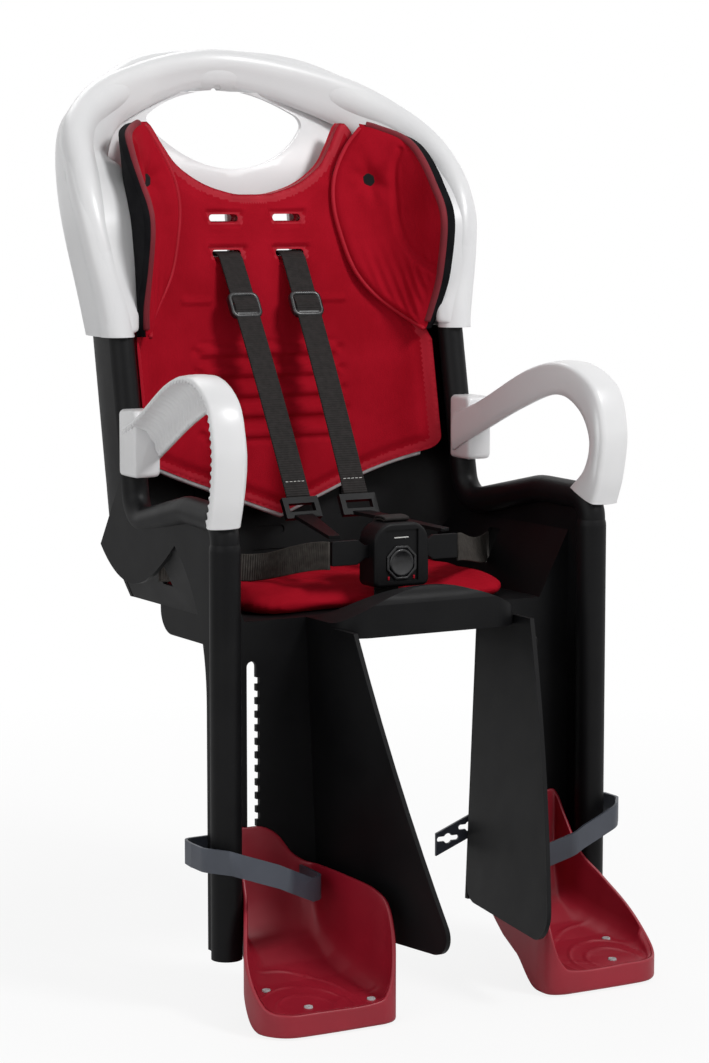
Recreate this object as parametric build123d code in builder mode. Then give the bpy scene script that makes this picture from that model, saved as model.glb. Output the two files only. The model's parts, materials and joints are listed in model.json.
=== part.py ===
"""Rear child bike seat: moulded shell, hood, arms, pads, harness and sliding footrests.

Millimetres. +Z is up and the child faces -Y, so the child's left is +X. The origin lies
midway between the two carrier rod sockets under the pan, at their front mouths.
"""

import os
from math import cos, radians, sin, tan

from build123d import *

os.makedirs("parts", exist_ok=True)

# Carrier rods and their block
rod_diameter = 12.0
rod_clearance = 0.05
rod_spacing = 70.0
socket_depth = 90.0
block_width = 116.0
block_height = 30.0
block_length = 112.0
block_round = 8.0
bolt_x = 18.0
bolt_y = (30.0, 85.0)
bolt_radius = 3.0
bolt_head_radius = 6.0
bolt_length = 26.0
bolt_clearance = 0.2

# Shell
wall = 4.0
back_lean = 10.8
shell_half_width = 180.0
shell_depth = 82.5
shell_back = 140.7
corner_power = 3.6
rim_radius = 11.5
tub_top = 247.0
pan_thickness = 4.0
pan_front = -82.0
bucket_half_width = 146.0
bucket_rim_gap = 2.0
bucket_height = 62.0
tongue_half_width = 88.0
tongue_front = -147.0
tongue_rise = 27.0
tongue_drop = 11.5
tongue_corner = 26.0
tongue_nose = 12.0
skirt_length = 150.0
skirt_drop = 24.0
skirt_round = 21.0
rim_bottom = 116.0
hip_notch = (-20.0, 78.0)
wing_corner = (126.0, 64.0)
lobe = (77.0, 37.0)
back_slot_x = 76.0
back_slot_z = 95.0
back_slot_length = 45.0
back_slot_width = 8.0
belt_slot_z = 63.0
belt_slot_length = 34.0
pocket_z = 42.0
pocket_length = 38.0
recess_depth = 1.5
support_rib_x = 70.0
support_rib_thickness = 5.0
support_rib_bottom = 122.0
support_rib_top = 240.0

# Legs
rib_radius = 13.0
rib_y = -112.0
rib_top = 84.0
leg_bottom = -256.0
crest_radius = 12.0
crest_corner_z = 86.0
crest_high = (-40.0, 110.0)
crest_front_z = 108.0
crest_bends = (26.0, 60.0, 18.0)
knee = -50.0
slot_x = 140.0
slot_width = 9.0
slot_top = -15.0
slot_bottom = -232.0
notch_pitch = 11.5
notch_depth = 3.0
guard_top_x = 88.0
guard_back_x = 77.0
guard_front_x = 46.0
guard_top_front = -162.0
guard_bottom_front = -256.0
guard_bottom = -243.0
guard_corner = 20.0

# Hood: height, half width beyond the shell's, rim front and back face of each station
hood_wall = 5.0
hood_rim_width = 30.0
hood_rim_depth = 28.0
hood_parting = 247.0
hood_step = (172.0, 214.0)
hood_stations = (
    (247.0, 5.5, 105.0, 193.5),
    (283.0, 11.2, 108.4, 200.0),
    (319.0, 17.5, 114.0, 205.8),
    (355.0, 22.0, 123.0, 211.0),
    (391.0, 19.8, 146.0, 217.5),
    (427.0, 4.5, 186.0, 232.0),
    (463.0, -52.0, 227.0, 247.0),
)
handle_centre = (0.0, 254.0, 483.0)
handle_height = 38.0
handle_depth = 26.0
grip_half_width = 84.0
grip_end_z = 437.0
grip_bottom = 392.0
grip_top = 465.0
grip_end_radius = 9.0
keyhole_radius = 5.0
hood_slot_width = 42.0
screw_x = 50.0
screw_drop = 16.0
screw_radius = 2.5
screw_head_radius = 5.0
screw_head_height = 3.0
screw_length = 12.0

# Arms: each end's distance inside the shell's half width, and its y
arm_rear = (15.0, 98.0)
arm_front = (-4.0, -105.0)
arm_width = 30.0
arm_wall = 4.0
arm_hollow_shift = (-3.5, -5.0)
arm_top = ((9, 171), (60, 184), (130, 216), (180, 224), (222, 206), (236, 169), (222, 100))
arm_under = ((176, 114), (192, 135), (200, 165), (178, 190), (123, 183), (57, 158), (20, 142))
arm_rib_line = ((40, 165), (125, 200), (180, 208), (214, 192), (219, 160), (202, 122))
arm_rib_thickness = 1.6
arm_rib_inset = 1.0
arm_rib_count = 26
clip_height = 58.0
clip_depth = 28.0
clip_z = 157.0
clip_cheek = 1.0

seat_gap = 0.2
overcut = 1.0

# Pads
pad_thickness = 18.0
pad_front = 103.2
pad_gap = 0.4
pad_v_tip = 81.0
pad_half_width = 118.0
pad_corner_z = 126.0
pad_waist = (108.0, 235.0)
pad_shoulder = (126.0, 330.0)
pad_top = 436.0
pad_neck = 369.0
pad_neck_side = (73.0, 394.5)
strap_slot_x = 32.5
strap_slot_z = (316.0, 348.0)
pad_slot_width = 31.0
strap_slot_height = 7.0
pad_corner = 12.0
lumbar_depth = 3.0
lumbar_z = 192.0
lumbar_pitch = 18.3
lumbar_count = 5
lumbar_width = 146.0
lumbar_groove = 6.0
flank_inner_x = 78.0
flank_middle = (120.0, 13.0)
flank_tip = (150.0, 44.0)
flank_edge = (155.0, 36.0)
flank_base_x = 124.0
flank_sunk = 4.5
flank_top = 244.0
flank_corner = 15.0
bolster_inner_x = 78.0
bolster_middle = (122.0, 14.0)
bolster_tip = (152.0, 46.0)
bolster_edge = (160.0, 38.0)
bolster_base_x = 132.0
bolster_centre = (125.0, 341.0)
bolster_leaf = (38.0, 96.0)
bolster_tilt = 10.0
snap_radius = 9.0
snap_thickness = 3.0
snap_share = 0.44
snap_z = 382.0
snap_gap = 1.0
cushion_half_width = 140.0
cushion_front = -76.0
cushion_rear = 130.0
cushion_thickness = 20.0
cushion_corner = 26.0

# Harness
webbing_width = 24.0
webbing_thickness = 1.6
strap_bend = 6.0
strap_exit = 3.0
ring_point = (29.0, 33.0, 96.0)
ring_width = 36.0
ring_height = 20.0
ring_thickness = 5.0
ring_window = (26.0, 8.0)
anchor_width = 40.0
anchor_depth = 8.0
anchor_height = 14.0
adjuster_share = 0.21
adjuster_width = 32.0
adjuster_depth = 6.0
adjuster_length = 26.0
link_end = (55.0, -72.0, 83.0)
link_widths = (18.0, 10.0)
link_thickness = 3.0
buckle_width = 54.0
buckle_height = 55.0
buckle_depth = 26.0
buckle_bottom = 39.4
buckle_front = -92.0
buckle_wall = 5.0
buckle_crown = 18.0
buckle_foot = 6.0
buckle_round = 3.0
window_width = 32.0
window_height = 44.0
window_depth = 2.0
button_radius = 12.0
button_flange = 2.5
button_z = 60.0
button_edge = 1.0
button_gap = 0.2
spring_width = 10.0
spring_height = 14.0
spring_thickness = 0.8
tongue_z = 70.0
tongue_tip_x = 19.0
tongue_end_x = 62.0
tongue_neck_x = (30.0, 37.0)
tongue_heights = (11.0, 21.0)
tongue_thickness = 4.0
crotch_tab = 15.0
lap_slot_y = 36.0
lap_slot_z = 52.0
lap_slot_shift = 5.0
lap_slot_width = 18.0
lap_slot_height = 30.0
lap_end_proud = 0.1
lap_end_gap = 1.5
lap_end_drop = 1.6
slack_points = ((130.0, 18.0), (96.0, -6.0), (84.0, -40.0))
slack_turn = -6.0
slack_bend = 12.0

# Footrests
foot_wall = 3.0
foot_gap = 0.5
foot_heel_inner = 84.5
foot_toe_inner = 72.0
foot_heel_outer = 163.0
foot_toe_outer = 193.0
foot_front = -216.0
foot_top = -154.0
foot_side_top = -186.0
foot_lip = -283.0
foot_bottom = -300.0
drain_radius = 2.6
foot_flare_y = -129.0
foot_flare_length = 22.0
foot_instep = (-108.0, -250.0)
foot_ball = (-150.0, -273.0)
foot_heel_edge = 8.0
foot_heel_fall = 22.0
foot_nose_drop = 30.0
foot_mouth_radius = 36.0
foot_toe_radius = 26.0
foot_toe_depth = 52.0
foot_heel_z = -214.0
foot_toe_cut = 30.0
drain_points = ((149.0, -195.0), (92.0, -198.0), (168.0, -158.0))
lock_z = -202.0
foot_strap_width = 20.0
foot_strap_thickness = 2.4
foot_strap_bend = 12.0
foot_strap_out = 25.0
foot_strap_side = (-100.0, -168.0)
foot_strap_tail = ((50.0, -66.0), (158.0, -66.0))
foot_strap_tail_turn = (3.0, -78.0)
foot_strap_tail_z = ((40.0, -199.0), (100.0, -176.0), (150.0, -172.0))
foot_strap_front_turn = ((0.0, -120.0), (17.0, -143.0))
foot_strap_front = ((140.0, -150.0), (100.0, -130.0))
foot_strap_front_z = ((190.0, -169.0), (150.0, -183.0), (112.0, -201.0), (80.0, -201.0))
foot_strap_end_x = 97.0
foot_strap_holes = (62.0, 84.0)
foot_strap_hole_radius = 4.5
lock_width = 24.0
lock_height = 30.0
lock_thickness = 4.0

pan_top = block_height / 2 + pan_thickness
bucket_top_x = shell_half_width - bucket_rim_gap
screw_z = hood_parting - screw_drop
rim_x = shell_half_width - rim_radius
lean_slope = tan(radians(back_lean))
lean_direction = Vector(0, sin(radians(back_lean)), cos(radians(back_lean)))


def back_y(z):
    """Outer back face of the shell at height z."""
    return shell_back + lean_slope * z


def rim_y(z):
    """Centre of the rolled side rim at height z."""
    return back_y(z) - shell_depth


crest_start_z = rim_bottom + rim_radius
crest_points = (
    (rim_y(crest_start_z), crest_start_z),
    (rim_y(crest_corner_z), crest_corner_z),
    crest_high,
    (rib_y, crest_front_z),
    (rib_y, rib_top),
)
crest_heading = Vector(rim_x - shell_half_width, rim_y(crest_corner_z) - rib_y, 0)
crest_plane = Plane(
    origin=(shell_half_width, rib_y, 0), x_dir=crest_heading, z_dir=crest_heading.cross(Vector(0, 0, 1))
)


def half_bow(half_width, front, back):
    """Points of half a rounded U, from the middle of the back to the rim."""
    points = []
    for share in (0, 0.4, 0.75, 0.93, 1):
        depth = (1 - share**corner_power) ** (1 / corner_power)
        points.append((half_width * share, front + (back - front) * depth))
    return points


def half_bow_face(z, half_width, front, back, thickness):
    """Half of a U-shaped wall at height z."""
    with BuildSketch(Plane.XY.offset(z)) as face:
        with BuildLine():
            outer = Spline(*half_bow(half_width, front, back), tangents=((1, 0), (0, -1)))
            inner = Spline(
                *half_bow(half_width - thickness, front, back - thickness),
                tangents=((1, 0), (0, -1)),
            )
            Line(outer @ 0, inner @ 0)
            Line(outer @ 1, inner @ 1)
        make_face()
    return face.sketch


def tub_inside(z, height):
    """Half of the room that the shell's outer face encloses, reaching forward past the pan."""
    with BuildPart() as room:
        with BuildSketch(Plane.XY.offset(z)):
            with BuildLine():
                bow = Spline(
                    *half_bow(shell_half_width - wall / 2, rim_y(z), back_y(z) - wall / 2),
                    tangents=((1, 0), (0, -1)),
                )
                front = pan_front - height
                Polyline(bow @ 1, (shell_half_width - wall / 2, front), (0, front), bow @ 0)
            make_face()
        extrude(amount=height / lean_direction.Z, dir=lean_direction)
    return room.part


def tongue_form(inset):
    """Crowned front tongue of the pan, or the hollow under it when inset by a wall."""
    half_width = tongue_half_width - inset
    top = pan_top + tongue_rise - inset
    shoulder = pan_top - inset
    bottom = pan_top - tongue_drop - (overcut if inset else 0)
    front = tongue_front + inset
    with BuildPart() as form:
        with BuildSketch(Plane.XZ.offset(-pan_front)):
            with BuildLine():
                ThreePointArc((-half_width, shoulder), (0, top), (half_width, shoulder))
                Polyline(
                    (half_width, shoulder), (half_width, bottom),
                    (-half_width, bottom), (-half_width, shoulder),
                )
            make_face()
        extrude(amount=pan_front - front)
        corners = form.edges().filter_by(Axis.Z).group_by(Axis.Y)[0]
        fillet(corners, tongue_corner - inset)
        with BuildSketch(Plane.YZ):
            with BuildLine():
                Spline(
                    (pan_front, shoulder), (front + tongue_nose, top), (front, top - tongue_nose),
                    tangents=((-1, 0.1), (-0.2, -1)),
                )
                Polyline(
                    (front, top - tongue_nose), (front, bottom),
                    (pan_front, bottom), (pan_front, shoulder),
                )
            make_face()
        extrude(amount=tongue_half_width, both=True, mode=Mode.INTERSECT)
    return form.part


def lean_plane(y):
    """Plane along the leaning back, through height zero at y, facing forward."""
    return Plane(origin=(0, y, 0), x_dir=(1, 0, 0), z_dir=(0, -lean_direction.Z, lean_direction.Y))


def up(z):
    """Distance along the lean that reaches height z."""
    return z / lean_direction.Z


def strap_slots(width):
    """The four strap slots, seen from the front."""
    with BuildSketch(Plane.XZ) as slots:
        for z in strap_slot_z:
            with Locations((-strap_slot_x, z), (strap_slot_x, z)):
                Rectangle(width, strap_slot_height)
    return slots.sketch


hood_face = hood_stations[0][3] - lean_slope * hood_stations[0][0] + seat_gap


def hood_back(z):
    """Back face of the hood at height z, straight between its stations."""
    for (low, _, _, low_back), (high, _, _, high_back) in zip(hood_stations, hood_stations[1:]):
        if low <= z <= high:
            return low_back + (high_back - low_back) * (z - low) / (high - low)


def screw_discs(radius):
    """Places of the hood's screws on the hood's back face."""
    with BuildSketch(lean_plane(hood_face)) as discs:
        with Locations((-screw_x, up(screw_z)), (screw_x, up(screw_z))):
            Circle(radius)
    return discs.sketch


def mirrored(left):
    """The right-hand twin of a left-hand piece."""
    with BuildPart() as right:
        mirror(left.part, about=Plane.YZ)
    return right


pan_bottom = pan_top - pan_thickness
tub_height = tub_top - pan_bottom
leg_rear = pan_front + wall
bucket_top = pan_top + bucket_height
pad_rear = pad_front + pad_thickness / lean_direction.Z
buckle_rear = buckle_front + buckle_depth
crotch_y = buckle_rear + pad_gap + webbing_thickness / 2
crotch_slot = (webbing_width + 4, webbing_thickness + 4)
bolt_places = [(x, y) for x in (-bolt_x, bolt_x) for y in bolt_y]


def hip_crest(extra):
    """Leg rib and the rolled crest that joins it to the side rim, grown by an extra radius."""
    with BuildPart() as form:
        with BuildSketch(Plane.XY.offset(leg_bottom)):
            with Locations((shell_half_width, rib_y)):
                Circle(rib_radius + extra)
        extrude(amount=rib_top - leg_bottom)
        with Locations((shell_half_width, rib_y, rib_top)):
            Sphere(rib_radius + extra)
        with BuildLine(crest_plane) as path:
            FilletPolyline(*[(y - rib_y, z) for y, z in crest_points], radius=crest_bends)
        with BuildSketch(Plane(path.line @ 0, z_dir=path.line % 0)):
            Circle(crest_radius + extra)
        sweep(path=path.line)
    return form.part


def side_rim(extra):
    """Rolled rim down the front of the wing, grown by an extra radius."""
    with BuildPart() as form:
        with BuildSketch(Plane.XY.offset(rim_bottom)):
            with Locations((rim_x, rim_y(rim_bottom))):
                Circle(rim_radius + extra)
        extrude(amount=up(tub_top - rim_bottom), dir=lean_direction)
    return form.part


def hip_side(extra):
    """Flat side of the hip and leg under the crest, thickened by an extra on both faces."""
    with BuildPart() as side:
        with BuildSketch(Plane.YZ.offset(shell_half_width - wall - extra)):
            with BuildLine():
                crest = FilletPolyline(*crest_points, radius=crest_bends)
                Polyline((rib_y, rib_top), (rib_y, leg_bottom), (leg_rear, leg_bottom), (leg_rear, knee))
                Spline((leg_rear, knee), hip_notch, tangents=((0, 1), (1, 0.8)))
                Spline(hip_notch, lobe, wing_corner, tangents=((1, -0.8), (1, 1)))
                Line(wing_corner, crest @ 0)
            make_face()
        extrude(amount=wall + 2 * extra)
    return side.part


with BuildPart() as bucket_half:
    # Pan, flared side and skirt, trimmed to the bow of the back
    with BuildSketch(Plane.XY.offset(pan_bottom)):
        with Locations((0, pan_front)):
            Rectangle(bucket_half_width + wall, shell_back - pan_front, align=(Align.MIN, Align.MIN))
    extrude(amount=pan_thickness)
    with BuildSketch(Plane.XZ.offset(-pan_front)):
        with BuildLine():
            Polyline(
                (bucket_half_width, pan_bottom),
                (bucket_top_x, bucket_top),
                (bucket_top_x + wall, bucket_top),
                (bucket_half_width + wall, pan_bottom),
                close=True,
            )
        make_face()
    extrude(amount=pan_front - shell_back)
    add(tub_inside(pan_bottom - overcut, bucket_height * 2), mode=Mode.INTERSECT)
    with BuildSketch(Plane.YZ.offset(bucket_half_width)):
        with Locations((pan_front, pan_bottom)):
            skirt = Rectangle(skirt_length, skirt_drop, align=(Align.MIN, Align.MAX))
        fillet(skirt.vertices().group_by(Axis.X)[-1].sort_by(Axis.Y)[:1], skirt_round)
    extrude(amount=wall)
    # Lap belt slot
    with BuildSketch(Plane.YZ.offset(bucket_half_width)):
        with Locations((lap_slot_y - lap_slot_shift, lap_slot_z)):
            Rectangle(lap_slot_width, lap_slot_height)
    extrude(amount=bucket_top_x - bucket_half_width - wall, mode=Mode.SUBTRACT)

with BuildPart() as guard_panel:
    # Inner panel beside the wheel: it closes in towards the bottom front
    for z, rear_x, front_x in (
        (pan_bottom, guard_top_x, guard_top_x),
        (guard_bottom, guard_back_x, guard_front_x),
    ):
        with BuildSketch(Plane.XY.offset(z)):
            with BuildLine():
                Polyline(
                    (rear_x, leg_rear), (front_x, guard_bottom_front),
                    (front_x - wall, guard_bottom_front), (rear_x - wall, leg_rear), close=True,
                )
            make_face()
    loft(ruled=True)
    with BuildSketch(Plane.YZ) as guard_outline:
        with BuildLine():
            Polyline(
                (leg_rear, pan_bottom), (guard_top_front, pan_bottom),
                (guard_bottom_front, guard_bottom), (leg_rear, guard_bottom), close=True,
            )
        make_face()
        fillet(guard_outline.vertices().group_by(Axis.Y)[0], guard_corner)
    extrude(amount=2 * guard_top_x, mode=Mode.INTERSECT)

with BuildPart() as main_shell:
    # Back and wings: half a U, drawn at the pan and run up along the lean
    tub_section = half_bow_face(
        pan_bottom, shell_half_width, rim_y(pan_bottom), back_y(pan_bottom), wall
    )
    extrude(tub_section, amount=up(tub_height), dir=lean_direction)
    add(side_rim(0))
    # Wing cut away below the flared bucket side
    with BuildSketch(Plane.XZ):
        with BuildLine():
            Polyline(
                (bucket_half_width + wall, pan_bottom - overcut),
                (bucket_top_x + wall, bucket_top),
                (2 * shell_half_width, bucket_top),
                (2 * shell_half_width, pan_bottom - overcut),
                close=True,
            )
        make_face()
    extrude(amount=-2 * shell_back, mode=Mode.SUBTRACT)
    add(hip_side(0))
    add(hip_crest(0))
    # Leg back wall
    with BuildSketch(Plane.XZ.offset(-leg_rear)):
        with BuildLine():
            Polyline(
                (guard_top_x - wall, pan_top),
                (bucket_half_width, pan_top),
                (bucket_top_x, bucket_top),
                (shell_half_width, bucket_top),
                (shell_half_width, leg_bottom),
                (guard_back_x - wall, guard_bottom),
                close=True,
            )
        make_face()
    extrude(amount=wall)
    add(guard_panel.part)
    # Footrest slot and its notched edge
    with BuildSketch(Plane.XZ.offset(-leg_rear)):
        with Locations((slot_x, (slot_top + slot_bottom) / 2)):
            SlotOverall(slot_top - slot_bottom, slot_width, rotation=90)
        notch_count = int((slot_top - slot_bottom) / notch_pitch) - 1
        with Locations((slot_x - slot_width / 2, (slot_top + slot_bottom) / 2)):
            with GridLocations(1, notch_pitch, 1, notch_count):
                Rectangle(notch_depth * 2, notch_pitch / 2)
    extrude(amount=wall, mode=Mode.SUBTRACT)
    add(bucket_half.part)
    # Ribs that carry the back pad
    for x in (0, support_rib_x):
        with BuildSketch(Plane.YZ.offset(x)):
            with BuildLine():
                Polyline(
                    (pad_rear + pad_gap + lean_slope * support_rib_bottom, support_rib_bottom),
                    (pad_rear + pad_gap + lean_slope * support_rib_top, support_rib_top),
                    (back_y(support_rib_top) - wall / 2, support_rib_top),
                    (back_y(support_rib_bottom) - wall / 2, support_rib_bottom),
                    close=True,
                )
            make_face()
        extrude(amount=support_rib_thickness / 2, both=True)
    # Blind recesses in the lower back
    with BuildSketch(lean_plane(shell_back - wall + recess_depth)):
        with Locations((back_slot_x, up(back_slot_z))):
            SlotOverall(back_slot_length, back_slot_width, rotation=90)
        with Locations((0, up(belt_slot_z))):
            SlotOverall(belt_slot_length, back_slot_width)
        with Locations((0, up(pocket_z))):
            SlotOverall(pocket_length, back_slot_width)
    extrude(amount=2 * wall, mode=Mode.SUBTRACT)
    mirror(about=Plane.YZ)
    # Front tongue
    add(tongue_form(0))
    add(tongue_form(wall), mode=Mode.SUBTRACT)
    # Crotch strap slot, bolt holes and screw holes
    with Locations((0, crotch_y, pan_bottom)):
        Box(*crotch_slot, 4 * pan_thickness, mode=Mode.SUBTRACT)
    with Locations(*[(x, y, pan_bottom + pan_thickness / 2) for x, y in bolt_places]):
        Cone(
            bolt_radius + bolt_clearance, bolt_head_radius + bolt_clearance, pan_thickness,
            mode=Mode.SUBTRACT,
        )
    extrude(screw_discs(screw_radius + bolt_clearance), amount=2 * screw_length, mode=Mode.SUBTRACT)

# Hood: half of a U wall lofted through its stations, with a fat rolled rim
hood_bows = [(z, shell_half_width + spread, front, back) for z, spread, front, back in hood_stations]
with BuildPart() as hood:
    loft([half_bow_face(*bow, hood_wall) for bow in hood_bows])
    flap_drop = lean_direction * up(hood_parting - hood_step[1] + hood_rim_depth / 2)
    extrude(half_bow_face(*hood_bows[0], hood_wall), amount=flap_drop.length, dir=-lean_direction)
    rim_points = [Vector(width - hood_rim_width / 2, front, z) for z, width, front, _ in hood_bows]
    rim_points[0] -= flap_drop
    with BuildLine() as rim_path:
        Spline(*rim_points, handle_centre, tangents=((0, lean_slope, 1), (-1, 0, 0)))
    with BuildSketch(Plane(rim_path.line @ 0, x_dir=(1, 0, 0), z_dir=rim_path.line % 0)):
        Ellipse(hood_rim_width / 2, hood_rim_depth / 2)
    with BuildSketch(Plane(rim_path.line @ 1, x_dir=(0, 0, 1), z_dir=rim_path.line % 1)):
        Ellipse(handle_height / 2, handle_depth / 2)
    sweep(path=rim_path.line, multisection=True)
    # Parting with the shell: level at the rims, lower at the back
    with BuildSketch(Plane.YZ):
        with BuildLine():
            Polyline(
                (-shell_back, hood_parting), (hood_step[0], hood_parting), hood_step,
                (2 * shell_back, hood_step[1]), (2 * shell_back, 0), (-shell_back, 0), close=True,
            )
        make_face()
    extrude(amount=2 * shell_half_width, mode=Mode.SUBTRACT)
    mirror(about=Plane.YZ)
    # Handle opening with its keyhole
    with BuildSketch(Plane.XZ) as grip:
        with BuildLine():
            ends = ((-grip_half_width, grip_end_z), (grip_half_width, grip_end_z))
            ThreePointArc(ends[0], (0, grip_bottom), ends[1])
            ThreePointArc(ends[0], (0, grip_top), ends[1])
        make_face()
        fillet(grip.vertices(), grip_end_radius)
        with Locations((0, grip_top)):
            Circle(keyhole_radius)
    extrude(amount=-2 * shell_back, mode=Mode.SUBTRACT)
    extrude(strap_slots(hood_slot_width), amount=-2 * shell_back, mode=Mode.SUBTRACT)
    extrude(screw_discs(screw_radius + bolt_clearance), amount=2 * screw_length, mode=Mode.SUBTRACT)

with BuildPart() as hood_screws:
    extrude(screw_discs(screw_radius), amount=screw_length)
    extrude(screw_discs(screw_head_radius), amount=-screw_head_height)

# Arm: a curved channel that is open below and outside, with cross ribs
arm_line = Vector(arm_rear[0] - arm_front[0], arm_front[1] - arm_rear[1], 0).normalized()
arm_plane = Plane(
    origin=(shell_half_width - arm_rear[0], arm_rear[1], 0),
    x_dir=arm_line,
    z_dir=arm_line.cross(Vector(0, 0, 1)),
).offset(-arm_width / 2)


def arm_band(plane):
    """Side outline of the arm."""
    with BuildSketch(plane) as band:
        with BuildLine():
            top = Spline(*arm_top)
            under = Spline(*arm_under)
            Line(top @ 1, under @ 0)
            Line(under @ 1, top @ 0)
        make_face()
    return band.sketch


with BuildLine(arm_plane.offset(arm_width / 2)) as arm_middle:
    Spline(*arm_rib_line)
with BuildPart() as arm_ribs:
    for step in range(arm_rib_count):
        with Locations(arm_middle.wire().location_at(step / (arm_rib_count - 1))):
            Box(2 * arm_width, 2 * arm_width, arm_rib_thickness)
    extrude(
        arm_band(arm_plane.offset(arm_rib_inset)), amount=arm_width - arm_rib_inset, mode=Mode.INTERSECT
    )
with BuildPart() as armrest_left:
    extrude(arm_band(arm_plane), amount=arm_width)
    outside = arm_plane.offset(-overcut)
    hollow_plane = outside.shift_origin(outside.from_local_coords(arm_hollow_shift))
    extrude(arm_band(hollow_plane), amount=arm_width - arm_wall + overcut, mode=Mode.SUBTRACT)
    add(arm_ribs.part)
    # Clip on the shell's rim
    clip_rear = rim_y(clip_z - clip_height / 2)
    with Locations((rim_x, clip_rear - clip_depth / 2, clip_z)):
        Box(2 * (rim_radius + clip_cheek), clip_depth, clip_height)
    add(side_rim(seat_gap), mode=Mode.SUBTRACT)
    # Saddle on the hip crest
    add(hip_crest(seat_gap), mode=Mode.SUBTRACT)
    add(hip_side(seat_gap), mode=Mode.SUBTRACT)
armrest_right = mirrored(armrest_left)

def leaf_shape(extra):
    """Front outline of the left bolster, grown by an extra."""
    with BuildSketch(Plane.XZ) as leaf:
        with Locations(bolster_centre):
            Ellipse(bolster_leaf[0] + extra, bolster_leaf[1] + extra, rotation=bolster_tilt)
    return leaf.sketch


# Flank of the back pad: it curls forward beside the child, below the bolster
pad_slope = (pad_corner_z - pad_v_tip) / pad_half_width
with BuildPart() as pad_flank:
    with BuildSketch():
        with BuildLine():
            curl = ThreePointArc(
                (flank_inner_x, pad_front),
                (flank_middle[0], pad_front - flank_middle[1]),
                (flank_tip[0], pad_front - flank_tip[1]),
            )
            Polyline(
                curl @ 1,
                (flank_edge[0], pad_front - flank_edge[1]),
                (flank_base_x, pad_front + flank_sunk),
                (flank_inner_x, pad_front + flank_sunk),
                curl @ 0,
            )
        make_face()
    extrude(amount=up(bolster_centre[1]), dir=lean_direction)
    with BuildSketch(Plane.XZ) as flank_outline:
        with BuildLine():
            Polyline(
                (flank_inner_x, pad_v_tip + pad_slope * flank_inner_x),
                (flank_edge[0], pad_v_tip + pad_slope * flank_edge[0]),
                (flank_edge[0], flank_top),
                (flank_inner_x, bolster_centre[1]),
                close=True,
            )
        make_face()
        fillet(flank_outline.vertices().group_by(Axis.X)[-1].sort_by(Axis.Y)[:1], flank_corner)
    extrude(amount=-2 * shell_back, mode=Mode.INTERSECT)
    extrude(leaf_shape(pad_gap), amount=-2 * shell_back, mode=Mode.SUBTRACT)

# Back pad: a formed panel with a deep neckline, a pointed foot and four strap slots
with BuildPart() as back_pad:
    with BuildSketch(lean_plane(pad_rear)) as pad_outline:
        corner = (pad_half_width, up(pad_corner_z))
        ear = (pad_half_width, up(pad_top))
        neck_side = (pad_neck_side[0], up(pad_neck_side[1]))
        waist = (pad_waist[0], up(pad_waist[1]))
        shoulder = (pad_shoulder[0], up(pad_shoulder[1]))
        with BuildLine():
            Line((0, up(pad_v_tip)), corner)
            Spline(corner, waist, shoulder, ear)
            Spline(ear, neck_side, (0, up(pad_neck)), tangents=((-1, 0.2), (-1, 0)))
            Line((0, up(pad_neck)), (0, up(pad_v_tip)))
        make_face()
        mirror(about=Plane.YZ)
        fillet(pad_outline.vertices().sort_by(Axis.Y)[-2:], pad_corner)
    extrude(amount=pad_thickness)
    add(pad_flank.part)
    add(mirrored(pad_flank).part)
    extrude(strap_slots(pad_slot_width), amount=-2 * shell_back, mode=Mode.SUBTRACT)
    # Cross ribs of the lumbar area
    with BuildSketch(lean_plane(pad_front).offset(-lumbar_depth)):
        with Locations((0, up(lumbar_z))):
            with GridLocations(1, lumbar_pitch, 1, lumbar_count):
                SlotOverall(lumbar_width, lumbar_groove)
    extrude(amount=lumbar_depth + overcut, mode=Mode.SUBTRACT)


def bolster_base(z):
    """Where the bolster's back meets the pad at height z."""
    return pad_front - pad_gap + lean_slope * z


def bolster_front(z):
    """Three points of the hollow front line of the bolster's section at height z."""
    base = bolster_base(z)
    return (
        (bolster_inner_x, base),
        (bolster_middle[0], base - bolster_middle[1]),
        (bolster_tip[0], base - bolster_tip[1]),
    )


# Head bolster: a leaf that curls forward from the pad's side
leaf_bottom = bolster_centre[1] - bolster_leaf[1]
leaf_height = 2 * bolster_leaf[1]
with BuildPart() as bolster_left:
    with BuildSketch(Plane.XY.offset(leaf_bottom)):
        base = bolster_base(leaf_bottom)
        with BuildLine():
            front = ThreePointArc(*bolster_front(leaf_bottom))
            Polyline(
                front @ 1,
                (bolster_edge[0], base - bolster_edge[1]),
                (bolster_base_x, base),
                front @ 0,
            )
        make_face()
    extrude(amount=up(leaf_height), dir=lean_direction)
    extrude(leaf_shape(0), amount=-2 * shell_back, mode=Mode.INTERSECT)
bolster_right = mirrored(bolster_left)

with BuildPart() as snap_button_left:
    # Round snap that stands on the bolster's hollow face
    with BuildLine(Plane.XY.offset(snap_z)):
        snap_line = ThreePointArc(*bolster_front(snap_z))
    snap_normal = (snap_line % snap_share).cross(lean_direction).normalized()
    snap_foot = (snap_line @ snap_share) + snap_normal * snap_gap
    with BuildSketch(Plane(snap_foot, z_dir=snap_normal)):
        Circle(snap_radius)
    extrude(amount=snap_thickness)
    chamfer(snap_button_left.faces().sort_by(Axis.Y)[0].edges(), snap_thickness / 3)
snap_button_right = mirrored(snap_button_left)

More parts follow.
